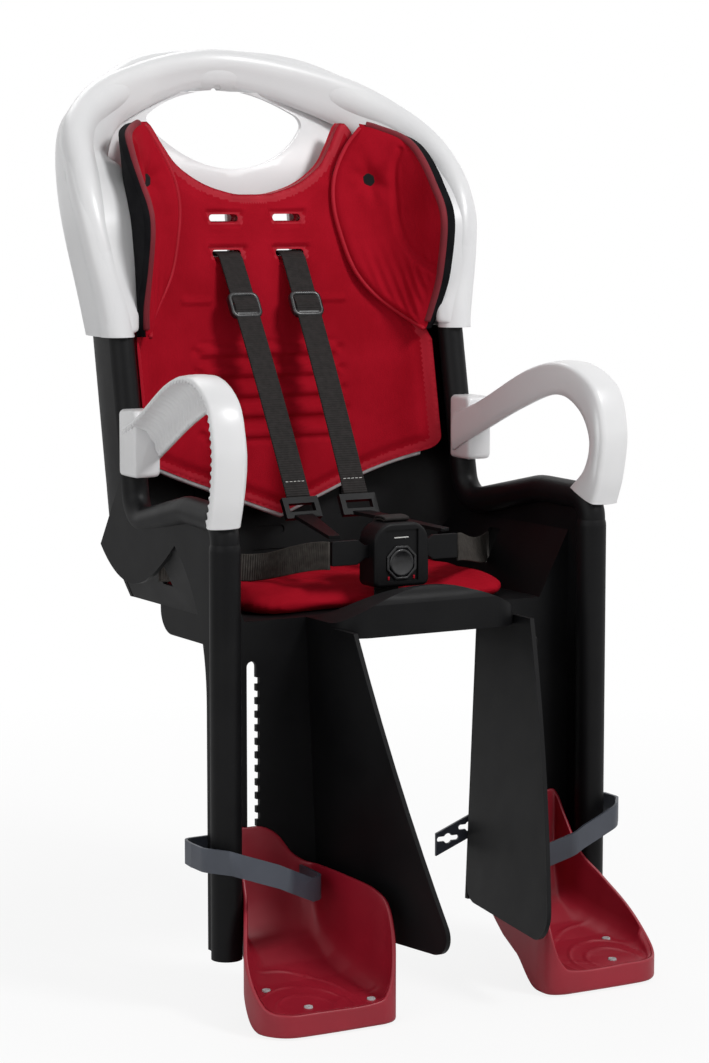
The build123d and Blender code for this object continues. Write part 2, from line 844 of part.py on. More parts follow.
# Seat cushion
with BuildPart() as seat_cushion:
    with BuildSketch(Plane.XY.offset(pan_top)) as cushion_outline:
        with Locations((0, cushion_front)):
            Rectangle(2 * cushion_half_width, cushion_rear - cushion_front, align=(Align.CENTER, Align.MIN))
        fillet(cushion_outline.vertices(), cushion_corner)
    extrude(amount=cushion_thickness)
    fillet(seat_cushion.faces().sort_by(Axis.Z)[-1].edges(), cushion_thickness / 3)
    with Locations((0, crotch_y, pan_top)):
        Box(*crotch_slot, 4 * cushion_thickness, mode=Mode.SUBTRACT)

# Shoulder straps: each runs in an upright plane from the hood's back to its ring
strap_z = strap_slot_z[0]
strap_start = Vector(strap_slot_x, pad_front + lean_slope * strap_z, 0)
strap_heading = (Vector(ring_point[0], ring_point[1], 0) - strap_start).normalized()
strap_reach = (Vector(ring_point[0], ring_point[1], 0) - strap_start).length
strap_plane = Plane(
    origin=strap_start, x_dir=strap_heading, z_dir=strap_heading.cross(Vector(0, 0, 1))
)
anchor_front = hood_back(strap_z) + seat_gap
anchor_rear = anchor_front + anchor_depth + webbing_thickness
run_top = Vector(strap_exit, strap_z)
run_end = Vector(strap_reach, ring_point[2])
run_line = (run_end - run_top).normalized()


def strap_cross(distance):
    """Plane square to the strap's run, at a distance from the slot's mouth."""
    local = run_top + run_line * distance
    ahead = strap_plane.from_local_coords(Vector(local.X + run_line.X, local.Y + run_line.Y))
    place = strap_plane.from_local_coords(Vector(local.X, local.Y))
    return Plane(origin=place, x_dir=strap_plane.z_dir, z_dir=ahead - place)


run_length = (run_end - run_top).length
with BuildPart() as shoulder_strap_left:
    back_reach = strap_start.Y - anchor_rear
    with BuildSketch(strap_plane):
        with BuildLine():
            tail = run_top + run_line * (run_length - ring_height / 2 - seat_gap)
            FilletPolyline(
                (back_reach, strap_z - anchor_height), (back_reach, strap_z),
                (run_top.X, run_top.Y), (tail.X, tail.Y), radius=strap_bend,
            )
        trace(line_width=webbing_thickness)
    extrude(amount=webbing_width / 2, both=True)
shoulder_strap_right = mirrored(shoulder_strap_left)

with BuildPart() as strap_anchor_left:
    # Bar behind the hood that the strap's end turns over
    bar_top = strap_z - webbing_thickness / 2 - seat_gap
    bar_centre = strap_plane.from_local_coords(Vector(back_reach, bar_top - anchor_height / 2))
    with Locations((bar_centre.X, anchor_front + anchor_depth / 2, bar_centre.Z)):
        Box(anchor_width, anchor_depth, anchor_height)
    bar_edges = strap_anchor_left.edges().filter_by(Axis.X)
    fillet(bar_edges.group_by(Axis.Z)[-1].sort_by(Axis.Y)[-1], strap_bend)
strap_anchor_right = mirrored(strap_anchor_left)

with BuildPart() as strap_adjuster_left:
    with BuildSketch(strap_cross(adjuster_share * run_length)):
        RectangleRounded(adjuster_width, adjuster_depth, adjuster_depth / 3)
        Rectangle(
            webbing_width + 4 * seat_gap, webbing_thickness + 2 * seat_gap, mode=Mode.SUBTRACT
        )
    extrude(amount=adjuster_length / 2, both=True)
strap_adjuster_right = mirrored(strap_adjuster_left)

with BuildPart() as strap_ring_left:
    # Loop at the strap's end, with a tapered link down to the buckle tongue
    cross = strap_cross(run_length)
    with BuildSketch(cross):
        Rectangle(ring_width, ring_thickness)
    extrude(amount=ring_height / 2, both=True)
    with BuildSketch(Plane(origin=cross.origin, x_dir=cross.x_dir, z_dir=cross.y_dir)):
        Rectangle(*ring_window)
    extrude(amount=ring_thickness, both=True, mode=Mode.SUBTRACT)
    link_start = cross.origin + cross.z_dir * (ring_height / 2 - link_thickness)
    link_line = Vector(*link_end) - link_start
    link_side = Vector(0, 0, 1).cross(link_line)
    for place, width in zip((link_start, Vector(*link_end)), link_widths):
        with BuildSketch(Plane(origin=place, x_dir=link_side, z_dir=link_line)):
            Rectangle(width, link_thickness)
    loft()
strap_ring_right = mirrored(strap_ring_left)

# Buckle: hollow housing with a push button, its spring and two plug-in tongues
buckle_top = buckle_bottom + buckle_height
tongue_y = (buckle_front + buckle_rear) / 2
with BuildPart() as buckle_housing:
    with BuildSketch(Plane.XZ.offset(-buckle_rear)) as buckle_outline:
        with Locations((0, buckle_bottom)):
            Rectangle(buckle_width, buckle_height, align=(Align.CENTER, Align.MIN))
        fillet(buckle_outline.vertices().group_by(Axis.Y)[-1], buckle_crown)
        fillet(buckle_outline.vertices().group_by(Axis.Y)[0], buckle_foot)
    extrude(amount=buckle_depth)
    fillet(buckle_housing.faces().sort_by(Axis.Y)[0].edges(), buckle_round)
    # Window, hollow, button hole and tongue slots
    with BuildSketch(Plane.XZ.offset(-buckle_front)):
        with Locations((0, buckle_bottom + buckle_wall)):
            Rectangle(window_width, window_height, align=(Align.CENTER, Align.MIN))
    extrude(amount=-window_depth, mode=Mode.SUBTRACT)
    with Locations((0, tongue_y, buckle_bottom + buckle_wall)):
        Box(
            buckle_width - 2 * buckle_wall, buckle_depth - 2 * buckle_wall, buckle_height - 3 * buckle_wall,
            align=(Align.CENTER, Align.CENTER, Align.MIN), mode=Mode.SUBTRACT,
        )
    with BuildSketch(Plane.XZ.offset(-buckle_front)):
        with Locations((0, button_z)):
            Circle(button_radius + button_gap)
    extrude(amount=-buckle_depth / 2, mode=Mode.SUBTRACT)
    with Locations((0, tongue_y, tongue_z)):
        Box(
            2 * buckle_width, tongue_thickness + 4 * seat_gap, tongue_heights[0] + 4 * seat_gap,
            mode=Mode.SUBTRACT,
        )

flange_front = buckle_front + buckle_wall + button_gap
with BuildPart() as buckle_button:
    with BuildSketch(Plane.XZ.offset(-flange_front)):
        with Locations((0, button_z)):
            Circle(button_radius + button_flange)
    extrude(amount=-button_flange)
    with BuildSketch(Plane.XZ.offset(-flange_front)):
        with Locations((0, button_z)):
            Circle(button_radius)
    extrude(amount=flange_front - buckle_front)
    chamfer(buckle_button.faces().sort_by(Axis.Y)[0].edges(), button_edge)

with BuildPart() as buckle_spring:
    # Bent leaf between the button's flange and the housing's rear wall
    spring_front = flange_front + button_flange + spring_thickness
    spring_rear = buckle_rear - buckle_wall - spring_thickness
    with BuildSketch(Plane.YZ):
        with BuildLine():
            Polyline(
                (spring_front, button_z + spring_height / 2), (spring_rear, button_z),
                (spring_front, button_z - spring_height / 2),
            )
        trace(line_width=spring_thickness)
    extrude(amount=spring_width / 2, both=True)

with BuildPart() as buckle_tongue_left:
    with BuildSketch(Plane.XZ.offset(-tongue_y)):
        with BuildLine():
            low, high = tongue_heights[0] / 2, tongue_heights[1] / 2
            Polyline(
                (tongue_tip_x, tongue_z - low), (tongue_neck_x[0], tongue_z - low),
                (tongue_neck_x[1], tongue_z - high), (tongue_end_x, tongue_z - high),
                (tongue_end_x, tongue_z + high), (tongue_neck_x[1], tongue_z + high),
                (tongue_neck_x[0], tongue_z + low), (tongue_tip_x, tongue_z + low), close=True,
            )
        make_face()
    extrude(amount=tongue_thickness / 2, both=True)
buckle_tongue_right = mirrored(buckle_tongue_left)


lap_side = (lap_slot_z - pan_bottom) / (bucket_top - pan_bottom)
lap_wall_x = bucket_half_width + wall + (bucket_top_x - bucket_half_width) * lap_side
lap_end_x = lap_wall_x + lap_end_proud


def lap_belt(middle, turn_y):
    """Lap webbing on edge, from the bucket's slot to the tongue, rising forward of turn_y."""
    end = (tongue_end_x + lap_end_gap, tongue_y)
    half = webbing_width / 2
    end_z = tongue_z - lap_end_drop
    with BuildPart() as belt:
        with BuildSketch():
            with BuildLine():
                if middle:
                    FilletPolyline((lap_end_x, lap_slot_y), *middle, end, radius=slack_bend)
                else:
                    Line((lap_end_x, lap_slot_y), end)
            trace(line_width=webbing_thickness)
        extrude(amount=2 * tongue_z)
        with BuildSketch(Plane.YZ):
            with BuildLine():
                Polyline(
                    (2 * lap_slot_y, lap_slot_z - half), (turn_y, lap_slot_z - half),
                    (tongue_y, end_z - half), (2 * tongue_y, end_z - half),
                    (2 * tongue_y, end_z + half), (tongue_y, end_z + half),
                    (turn_y, lap_slot_z + half), (2 * lap_slot_y, lap_slot_z + half), close=True,
                )
            make_face()
        extrude(amount=2 * shell_half_width, mode=Mode.INTERSECT)
    return belt


lap_belt_left = lap_belt((), lap_slot_y)
lap_belt_right = mirrored(lap_belt(slack_points, slack_turn))

with BuildPart() as crotch_strap:
    # Up through the pan and cushion, behind the buckle and over its top
    with BuildSketch(Plane.YZ):
        with BuildLine():
            low = pan_bottom - seat_gap - webbing_thickness / 2
            high = buckle_top + seat_gap + webbing_thickness / 2
            FilletPolyline(
                (crotch_y + crotch_tab, low), (crotch_y, low), (crotch_y, high), (tongue_y, high),
                radius=webbing_thickness,
            )
        trace(line_width=webbing_thickness)
    extrude(amount=webbing_width / 2, both=True)

# Footrest: a heel cup that opens into a wider toe tray
foot_rear = pan_front - foot_gap


def foot_plan(inset):
    """Plan outline of the footrest, inset from its outer face."""
    with BuildSketch(Plane.XY.offset(foot_bottom)) as plan:
        with BuildLine():
            Polyline(
                (foot_heel_inner, foot_rear), (foot_toe_inner, foot_front), (foot_toe_outer, foot_front),
                (foot_toe_outer, foot_flare_y - foot_flare_length), (foot_heel_outer, foot_flare_y),
                (foot_heel_outer, foot_rear), close=True,
            )
        make_face()
        fillet(plan.vertices().group_by(Axis.Y)[0], foot_toe_radius)
        if inset:
            offset(amount=-inset, mode=Mode.REPLACE)
    return plan.sketch


def foot_floor(drop):
    """Side view of all that lies above the floor, or above its underside when dropped."""
    heel = foot_rear - foot_wall + drop
    front = foot_front - foot_toe_radius
    with BuildSketch(Plane.YZ) as side:
        with BuildLine():
            curve = Spline(
                (heel, foot_heel_z),
                (foot_instep[0], foot_instep[1] - drop),
                (foot_ball[0], foot_ball[1] - drop),
                (foot_front, foot_lip - drop),
                tangents=((0, -1), (-1, 0)),
            )
            Polyline(
                curve @ 1, (front, foot_lip - drop), (front, 0), (heel, 0), curve @ 0,
            )
        make_face()
    return side.sketch


with BuildPart() as foot_space:
    # Room inside the cup, above the floor
    extrude(foot_plan(foot_wall), amount=-foot_bottom)
    extrude(foot_floor(0), amount=2 * foot_toe_outer, mode=Mode.INTERSECT)
with BuildPart() as footrest_left:
    extrude(foot_plan(0), amount=foot_top - foot_bottom)
    extrude(foot_floor(foot_wall), amount=2 * foot_toe_outer, mode=Mode.INTERSECT)
    add(foot_space.part, mode=Mode.SUBTRACT)
    # Inner wall lower than the heel, open toe, falling outer wall
    toe = foot_front - overcut
    with BuildSketch(Plane.YZ.offset(foot_toe_inner - foot_wall)):
        with BuildLine():
            heel_top = (foot_rear - foot_heel_edge, foot_top + overcut)
            nose = (toe, foot_side_top - foot_nose_drop)
            Spline(
                heel_top, (foot_rear - foot_heel_fall, foot_side_top),
                (foot_front + foot_nose_drop, foot_side_top - foot_wall), nose,
                tangents=((0, -1), (-0.2, -1)),
            )
            Polyline(nose, (toe, foot_top + overcut), heel_top)
        make_face()
    extrude(amount=foot_toe_outer, mode=Mode.SUBTRACT)
    with BuildSketch(Plane.XZ.offset(-toe)):
        with BuildLine():
            lip = foot_lip + foot_wall + overcut
            mouth_top = (foot_toe_inner + foot_wall, foot_side_top + foot_mouth_radius)
            mouth_low = (foot_toe_inner + foot_mouth_radius, lip)
            Spline(
                mouth_top, (foot_toe_inner + 3 * foot_wall, foot_lip + foot_mouth_radius), mouth_low,
                tangents=((0.1, -1), (1, 0)),
            )
            Polyline(
                mouth_low, (foot_toe_outer + overcut, lip),
                (foot_toe_outer + overcut, foot_side_top + foot_mouth_radius), mouth_top,
            )
        make_face()
    extrude(amount=-foot_toe_cut, mode=Mode.SUBTRACT)
    with BuildSketch(Plane.YZ.offset(foot_heel_outer - foot_toe_radius / 2)):
        with BuildLine():
            Polyline(
                (foot_flare_y, foot_side_top + overcut),
                (foot_front + foot_flare_length, foot_lip + foot_toe_radius),
                (toe, foot_lip + foot_wall),
                (toe, foot_top + overcut),
                (foot_flare_y, foot_top + overcut),
                close=True,
            )
        make_face()
    extrude(amount=foot_toe_outer, mode=Mode.SUBTRACT)
    # Skirt under the toe lip
    with BuildSketch(Plane.XY.offset(foot_bottom)):
        add(foot_plan(0))
        add(foot_plan(foot_wall), mode=Mode.SUBTRACT)
        with Locations((0, foot_front + foot_toe_depth)):
            Rectangle(
                4 * foot_toe_outer, 4 * foot_toe_outer,
                align=(Align.CENTER, Align.MIN), mode=Mode.SUBTRACT,
            )
    extrude(amount=foot_lip - foot_bottom)
    # Drain holes
    with Locations(*[(x, y, foot_lip) for x, y in drain_points]):
        Cylinder(drain_radius, -foot_lip / 4, mode=Mode.SUBTRACT)
    # Stem through the leg's slot
    with Locations((slot_x, foot_rear, lock_z)):
        Box(
            slot_width - 2 * foot_gap, wall + 2 * foot_gap, lock_height - 2 * foot_gap,
            align=(Align.CENTER, Align.MIN, Align.CENTER),
        )
footrest_right = mirrored(footrest_left)

with BuildPart() as foot_lock_left:
    # Sliding lock behind the leg, with a grip ridge
    lock_front = leg_rear + foot_gap
    with Locations((slot_x, lock_front, lock_z)):
        Box(lock_width, lock_thickness, lock_height, align=(Align.CENTER, Align.MIN, Align.CENTER))
    fillet(foot_lock_left.edges().filter_by(Axis.Y), lock_thickness)
    with Locations((slot_x, lock_front + lock_thickness, lock_z)):
        Box(
            lock_width - 2 * lock_thickness, lock_thickness, lock_thickness,
            align=(Align.CENTER, Align.MIN, Align.CENTER),
        )
foot_lock_right = mirrored(foot_lock_left)


def strap_band(route, heights):
    """Flat rubber band on edge: a plan route, with the height of its middle along X."""
    half = foot_strap_width / 2
    with BuildPart() as band:
        with BuildSketch(Plane.XY.offset(foot_bottom)):
            with BuildLine():
                FilletPolyline(*route, radius=foot_strap_bend)
            trace(line_width=foot_strap_thickness)
        extrude(amount=-foot_bottom)
        with BuildSketch(Plane.XZ):
            with BuildLine():
                upper = [(x, z + half) for x, z in heights]
                lower = [(x, z - half) for x, z in reversed(heights)]
                Polyline(*upper, *lower, close=True)
            make_face()
        extrude(amount=2 * shell_half_width, both=True, mode=Mode.INTERSECT)
    return band.part


with BuildPart() as foot_strap_left:
    # From the heel's wall over the foot, round the leg's rib, and its tail behind the leg
    strap_heel = (foot_strap_end_x, foot_rear - foot_wall - seat_gap)
    side_x = shell_half_width + foot_strap_out
    side = (side_x, foot_strap_side[0])
    side_end = (side_x + foot_strap_bend, foot_strap_side[1])
    front_turn = [(side_x - inset, y) for inset, y in foot_strap_front_turn]
    tail_turn = (side_x - foot_strap_tail_turn[0], foot_strap_tail_turn[1])
    add(strap_band((side, *front_turn, *foot_strap_front, strap_heel), (side_end, *foot_strap_front_z)))
    add(strap_band((side, tail_turn, *reversed(foot_strap_tail)), (*foot_strap_tail_z, side_end)))
    with BuildSketch(Plane.XZ.offset(-foot_strap_tail[0][1])):
        for x in foot_strap_holes:
            tail_low, tail_high = foot_strap_tail_z[:2]
            slope = (tail_high[1] - tail_low[1]) / (tail_high[0] - tail_low[0])
            with Locations((x, tail_low[1] + slope * (x - tail_low[0]))):
                Circle(foot_strap_hole_radius)
                SlotOverall(5 * foot_strap_hole_radius, foot_strap_hole_radius)
    extrude(amount=foot_strap_thickness, both=True, mode=Mode.SUBTRACT)
foot_strap_right = mirrored(foot_strap_left)

# Block under the pan that the carrier's two rods plug into
with BuildPart() as carrier_block:
    with Locations((0, block_length / 2, 0)):
        Box(block_width, block_length, block_height)
    fillet(carrier_block.edges().filter_by(Axis.Z), block_round)
    with BuildSketch(Plane.XZ):
        with Locations((-rod_spacing / 2, 0), (rod_spacing / 2, 0)):
            Circle(rod_diameter / 2 + rod_clearance)
    extrude(amount=-socket_depth, mode=Mode.SUBTRACT)
    with Locations(*[(x, y, pan_bottom) for x, y in bolt_places]):
        Cylinder(
            bolt_radius + bolt_clearance, bolt_length + bolt_clearance,
            align=(Align.CENTER, Align.CENTER, Align.MAX), mode=Mode.SUBTRACT,
        )

with BuildPart() as carrier_bolts:
    with Locations(*[(x, y, pan_bottom) for x, y in bolt_places]):
        Cylinder(bolt_radius, bolt_length, align=(Align.CENTER, Align.CENTER, Align.MAX))
        Cone(
            bolt_radius, bolt_head_radius, pan_thickness,
            align=(Align.CENTER, Align.CENTER, Align.MIN),
        )

pieces = {
    "main_shell": main_shell,
    "hood": hood,
    "hood_screws": hood_screws,
    "armrest_left": armrest_left,
    "armrest_right": armrest_right,
    "back_pad": back_pad,
    "bolster_left": bolster_left,
    "bolster_right": bolster_right,
    "snap_button_left": snap_button_left,
    "snap_button_right": snap_button_right,
    "seat_cushion": seat_cushion,
    "shoulder_strap_left": shoulder_strap_left,
    "shoulder_strap_right": shoulder_strap_right,
    "strap_anchor_left": strap_anchor_left,
    "strap_anchor_right": strap_anchor_right,
    "strap_adjuster_left": strap_adjuster_left,
    "strap_adjuster_right": strap_adjuster_right,
    "strap_ring_left": strap_ring_left,
    "strap_ring_right": strap_ring_right,
    "buckle_tongue_left": buckle_tongue_left,
    "buckle_tongue_right": buckle_tongue_right,
    "lap_belt_left": lap_belt_left,
    "lap_belt_right": lap_belt_right,
    "crotch_strap": crotch_strap,
    "buckle_housing": buckle_housing,
    "buckle_button": buckle_button,
    "buckle_spring": buckle_spring,
    "footrest_left": footrest_left,
    "footrest_right": footrest_right,
    "foot_lock_left": foot_lock_left,
    "foot_lock_right": foot_lock_right,
    "foot_strap_left": foot_strap_left,
    "foot_strap_right": foot_strap_right,
    "carrier_block": carrier_block,
    "carrier_bolts": carrier_bolts,
}
for name, piece in pieces.items():
    piece.part.label = name
    export_step(piece.part, f"parts/{name}.step")
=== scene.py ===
"""Rear child bike seat: the looks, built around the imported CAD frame.

Sizes below are millimetres in the part's frame: +Z up, the child faces -Y, the child's left is +X.
"""
import json
import math

import bpy
import numpy as np
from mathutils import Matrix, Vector, noise
from mathutils.geometry import delaunay_2d_cdt


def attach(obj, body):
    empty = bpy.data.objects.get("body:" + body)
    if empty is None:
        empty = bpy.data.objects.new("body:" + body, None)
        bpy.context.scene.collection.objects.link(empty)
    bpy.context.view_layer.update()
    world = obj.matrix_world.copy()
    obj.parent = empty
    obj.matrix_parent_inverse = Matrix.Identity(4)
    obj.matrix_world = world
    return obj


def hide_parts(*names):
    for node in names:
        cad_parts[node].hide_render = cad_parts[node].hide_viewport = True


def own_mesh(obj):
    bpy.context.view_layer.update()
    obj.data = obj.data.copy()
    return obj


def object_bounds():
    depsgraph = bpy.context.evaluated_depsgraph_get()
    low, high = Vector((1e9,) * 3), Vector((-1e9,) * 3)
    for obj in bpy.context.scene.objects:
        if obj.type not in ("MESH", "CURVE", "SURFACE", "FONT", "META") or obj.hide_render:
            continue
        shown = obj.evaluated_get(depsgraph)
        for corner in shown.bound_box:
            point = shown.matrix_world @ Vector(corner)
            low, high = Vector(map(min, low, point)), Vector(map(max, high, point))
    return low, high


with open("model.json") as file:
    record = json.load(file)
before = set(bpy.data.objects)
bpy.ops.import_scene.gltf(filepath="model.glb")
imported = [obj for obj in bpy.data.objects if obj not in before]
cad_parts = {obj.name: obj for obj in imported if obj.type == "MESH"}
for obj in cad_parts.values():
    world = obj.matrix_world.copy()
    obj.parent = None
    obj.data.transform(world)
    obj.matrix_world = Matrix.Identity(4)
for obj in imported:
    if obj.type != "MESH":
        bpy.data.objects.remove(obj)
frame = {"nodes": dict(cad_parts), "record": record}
cad_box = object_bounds()
scene = bpy.context.scene
MM = 0.001
LEAN = math.tan(math.radians(10.8))
SIDES = {"left": 1, "right": -1}


# Materials

def new_material(name, colour, roughness, **sockets):
    """A material with its shader's constant values set on the sockets."""
    made = bpy.data.materials.new(name)
    made.use_nodes = True
    shader = made.node_tree.nodes["Principled BSDF"]
    shader.inputs["Base Color"].default_value = (*colour, 1)
    shader.inputs["Roughness"].default_value = roughness
    for socket, value in sockets.items():
        shader.inputs[socket.replace("_", " ")].default_value = value
    return made


def add_node(owner, kind, **values):
    """A new shader node of a material or world, with some of its inputs or properties set."""
    node = owner.node_tree.nodes.new(kind)
    for key, value in values.items():
        if hasattr(node, key):
            setattr(node, key, value)
        else:
            node.inputs[key.replace("_", " ")].default_value = value
    return node


def link(owner, source, output, target, socket):
    owner.node_tree.links.new(source.outputs[output], target.inputs[socket])


def to_shader(material, source, output, socket):
    """Feed one of the sockets of a material's main shader."""
    link(material, source, output, material.node_tree.nodes["Principled BSDF"], socket)


def noise_node(material, scale, detail):
    """Noise in the piece's own coordinates."""
    place = add_node(material, "ShaderNodeTexCoord")
    cloud = add_node(material, "ShaderNodeTexNoise", Scale=scale, Detail=detail)
    link(material, place, "Object", cloud, "Vector")
    return cloud


def colour_noise(material, low, high, scale, detail=3):
    """Slow colour change over the surface between two colours."""
    cloud = noise_node(material, scale, detail)
    ramp = add_node(material, "ShaderNodeValToRGB")
    for index, (place, colour) in enumerate(((0.35, low), (0.65, high))):
        ramp.color_ramp.elements[index].position = place
        ramp.color_ramp.elements[index].color = (*colour, 1)
    link(material, cloud, "Fac", ramp, "Fac")
    to_shader(material, ramp, "Color", "Base Color")


def relief(material, source, output, strength, distance):
    """Bump from a node's output."""
    bump = add_node(material, "ShaderNodeBump", Strength=strength, Distance=distance)
    link(material, source, output, bump, "Height")
    to_shader(material, bump, "Normal", "Normal")


def noise_bump(material, scale, strength, distance, detail=4):
    """Fine relief from noise."""
    relief(material, noise_node(material, scale, detail), "Fac", strength, distance)


def rough_noise(material, low, high, scale):
    """Uneven gloss over the surface."""
    cloud = noise_node(material, scale, 4)
    spread = add_node(material, "ShaderNodeMapRange", To_Min=low, To_Max=high)
    link(material, cloud, "Fac", spread, "Value")
    to_shader(material, spread, "Result", "Roughness")


def finish(name, colour, roughness, patches, shine=None, grain=None, **sockets):
    """A finish with patchy colour and, where given, an uneven shine and a fine grain."""
    made = new_material(name, colour, roughness, **sockets)
    colour_noise(made, *patches)
    if shine:
        rough_noise(made, *shine)
    if grain:
        noise_bump(made, *grain)
    return made


def woven(name, low, high):
    """Webbing with ribs along both directions of the ribbon, as many a metre as given."""
    made = finish(name, low, 0.75, (low, high, 220, 5), Specular_IOR_Level=0.25)
    place = add_node(made, "ShaderNodeTexCoord")
    height = add_node(made, "ShaderNodeMath", operation="ADD")
    for index, (direction, rate) in enumerate((("X", 160), ("Y", 900))):
        wave = add_node(made, "ShaderNodeTexWave", bands_direction=direction, Scale=rate / 20 * math.pi)
        link(made, place, "UV", wave, "Vector")
        link(made, wave, "Fac", height, index)
    relief(made, height, "Value", 0.6, 0.0006)
    return made


white = finish("moulded_white", (0.80, 0.80, 0.81), 0.34, ((0.77, 0.77, 0.78), (0.81, 0.81, 0.815), 9),
               (0.28, 0.42, 30), (900, 0.05, 0.0004), Coat_Weight=0.15, Coat_Roughness=0.2)
black = finish("grained_black", (0.010, 0.010, 0.011), 0.46, ((0.003, 0.003, 0.0035), (0.006, 0.006, 0.0065), 14),
               (0.38, 0.52, 40), (1400, 0.16, 0.0004, 6), Specular_IOR_Level=0.13)
gloss = finish("gloss_black", (0.009, 0.009, 0.010), 0.28, ((0.007, 0.007, 0.008), (0.012, 0.012, 0.013), 30),
               (0.22, 0.34, 60), Specular_IOR_Level=0.5)
cup_red = finish("moulded_red", (0.26, 0.007, 0.020), 0.45, ((0.27, 0.006, 0.018), (0.34, 0.009, 0.025), 12),
                 (0.36, 0.5, 50), (1200, 0.12, 0.0004))
knit = finish("knitted_red", (0.36, 0.003, 0.013), 0.85, ((0.33, 0.002, 0.011), (0.40, 0.004, 0.016), 22, 6),
              grain=(1100, 0.35, 0.0007, 6), Specular_IOR_Level=0.1)
# Smooth pressed border of the pads
weld = finish("welded_red", (0.42, 0.006, 0.020), 0.6, ((0.38, 0.004, 0.016), (0.45, 0.008, 0.024), 40),
              grain=(1600, 0.12, 0.0004), Specular_IOR_Level=0.2)
# Darker binding round the bolsters
binding = finish("bound_red", (0.16, 0.004, 0.012), 0.75, ((0.14, 0.003, 0.010), (0.19, 0.005, 0.014), 40),
                 grain=(1600, 0.25, 0.0005))
felt = finish("grey_felt", (0.42, 0.42, 0.43), 0.9, ((0.36, 0.36, 0.37), (0.48, 0.48, 0.49), 90),
              grain=(1500, 0.3, 0.0005))
# Black cloth behind the bolsters: painted shade, a dark sheet standing for the shadowed gap between each bolster
# and the hood
shade_cloth = finish("painted_shade_cloth", (0.006, 0.006, 0.007), 0.95, ((0.004, 0.004, 0.005), (0.008, 0.008, 0.009), 60),
                grain=(1500, 0.3, 0.0005), Specular_IOR_Level=0.1)
rubber = finish("satin_rubber", (0.053, 0.061, 0.080), 0.5, ((0.046, 0.053, 0.069), (0.058, 0.066, 0.086), 20),
                (0.4, 0.55, 60), (1500, 0.1, 0.0003))
thread = finish("pale_thread", (0.6, 0.6, 0.58), 0.8, ((0.5, 0.5, 0.48), (0.7, 0.7, 0.68), 400))
steel = finish("plain_steel", (0.55, 0.55, 0.56), 0.35, ((0.50, 0.50, 0.51), (0.60, 0.60, 0.61), 80),
               (0.28, 0.42, 200), Metallic=1.0)
strap_cloth = woven("woven_charcoal", (0.009, 0.0075, 0.007), (0.018, 0.015, 0.0145))
belt_cloth = woven("woven_taupe", (0.034, 0.030, 0.026), (0.060, 0.053, 0.047))
finishes = {
    "white_plastic": white, "black_plastic": black, "red_fabric": knit, "dark_red_plastic": cup_red,
    "grey_rubber": rubber, "webbing": strap_cloth, "steel": steel,
}


# Mesh helpers

def piece(name, parts, body="seat", replaces=None):
    """One mesh from (points, faces, material, uv) parts, riding on a body.

    A part's uv is None or one pair a point, in millimetres.
    """
    points, faces, marks, materials, uvs = [], [], [], [], []
    for part_points, part_faces, material, uv in parts:
        start = len(points)
        if material not in materials:
            materials.append(material)
        points.extend(tuple(MM * c for c in p) for p in part_points)
        faces.extend(tuple(start + i for i in face) for face in part_faces)
        marks.extend([materials.index(material)] * len(part_faces))
        uvs.extend(uv if uv is not None else [(0, 0)] * len(part_points))
    mesh = bpy.data.meshes.new(name)
    mesh.from_pydata(points, [], faces)
    for material in materials:
        mesh.materials.append(material)
    mesh.polygons.foreach_set("material_index", marks)
    mesh.polygons.foreach_set("use_smooth", [True] * len(faces))
    layer = mesh.uv_layers.new(name="UVMap")
    for loop in mesh.loops:
        u, v = uvs[loop.vertex_index]
        layer.data[loop.index].uv = (MM * u, MM * v)
    mesh.update()
    made = bpy.data.objects.new(name, mesh)
    scene.collection.objects.link(made)
    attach(made, body)
    if replaces:
        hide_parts(*replaces)
    return made


def mirror_part(part):
    """A part seen in the middle plane of the seat."""
    points, faces, material, uv = part
    return [(-x, y, z) for x, y, z in points], [tuple(reversed(f)) for f in faces], material, uv


def on_side(name, parts):
    """Parts made for the child's left, mirrored where the side's name says right."""
    return parts if SIDES[name] > 0 else [mirror_part(p) for p in parts]


def subdivide(made):
    """One level of subdivision, in the render too."""
    finer = made.modifiers.new("finer", "SUBSURF")
    finer.levels = finer.render_levels = 1


def smooth_step(low, high, value):
    """0 up to low, 1 from high on, and smooth between; falling where high is below low."""
    share = np.clip((np.asarray(value, float) - low) / (high - low), 0, 1)
    return share * share * (3 - 2 * share)


def clouds(flat, *layers):
    """Noise at points of a plane, from layers of weight, size along either axis and depth."""
    return np.array([sum(k * noise.noise((p / a, q / b, depth)) for k, a, b, depth in layers) for p, q in flat])


def run_along(line):
    """Distance along a polyline at each of its points."""
    return np.concatenate([[0], np.cumsum(np.linalg.norm(np.diff(line, axis=0), axis=1))])


def spaced(line, count):
    """A polyline cut again into evenly spaced points."""
    run = run_along(line)
    places = np.linspace(0, run[-1], count)
    return np.stack([np.interp(places, run, line[:, i]) for i in range(line.shape[1])], axis=1)


def curve_through(points, count):
    """Evenly spaced points of a smooth curve through the given ones."""
    points = np.array(points, float)
    ends = np.vstack([2 * points[0] - points[1], points, 2 * points[-1] - points[-2]])
    dense = []
    for a, b, c, d in zip(ends, ends[1:], ends[2:], ends[3:]):
        for t in np.linspace(0, 1, 24, endpoint=False):
            dense.append(0.5 * (2 * b + (c - a) * t + (2 * a - 5 * b + 4 * c - d) * t**2
                                + (3 * b - a - 3 * c + d) * t**3))
    dense.append(ends[-2])
    return spaced(np.array(dense), count)


def unit(rows):
    """Rows of vectors brought to length one."""
    return rows / np.linalg.norm(rows, axis=1)[:, None]


def headings(path):
    """Unit direction of a path at each of its points."""
    return unit(np.gradient(np.asarray(path, float), axis=0))


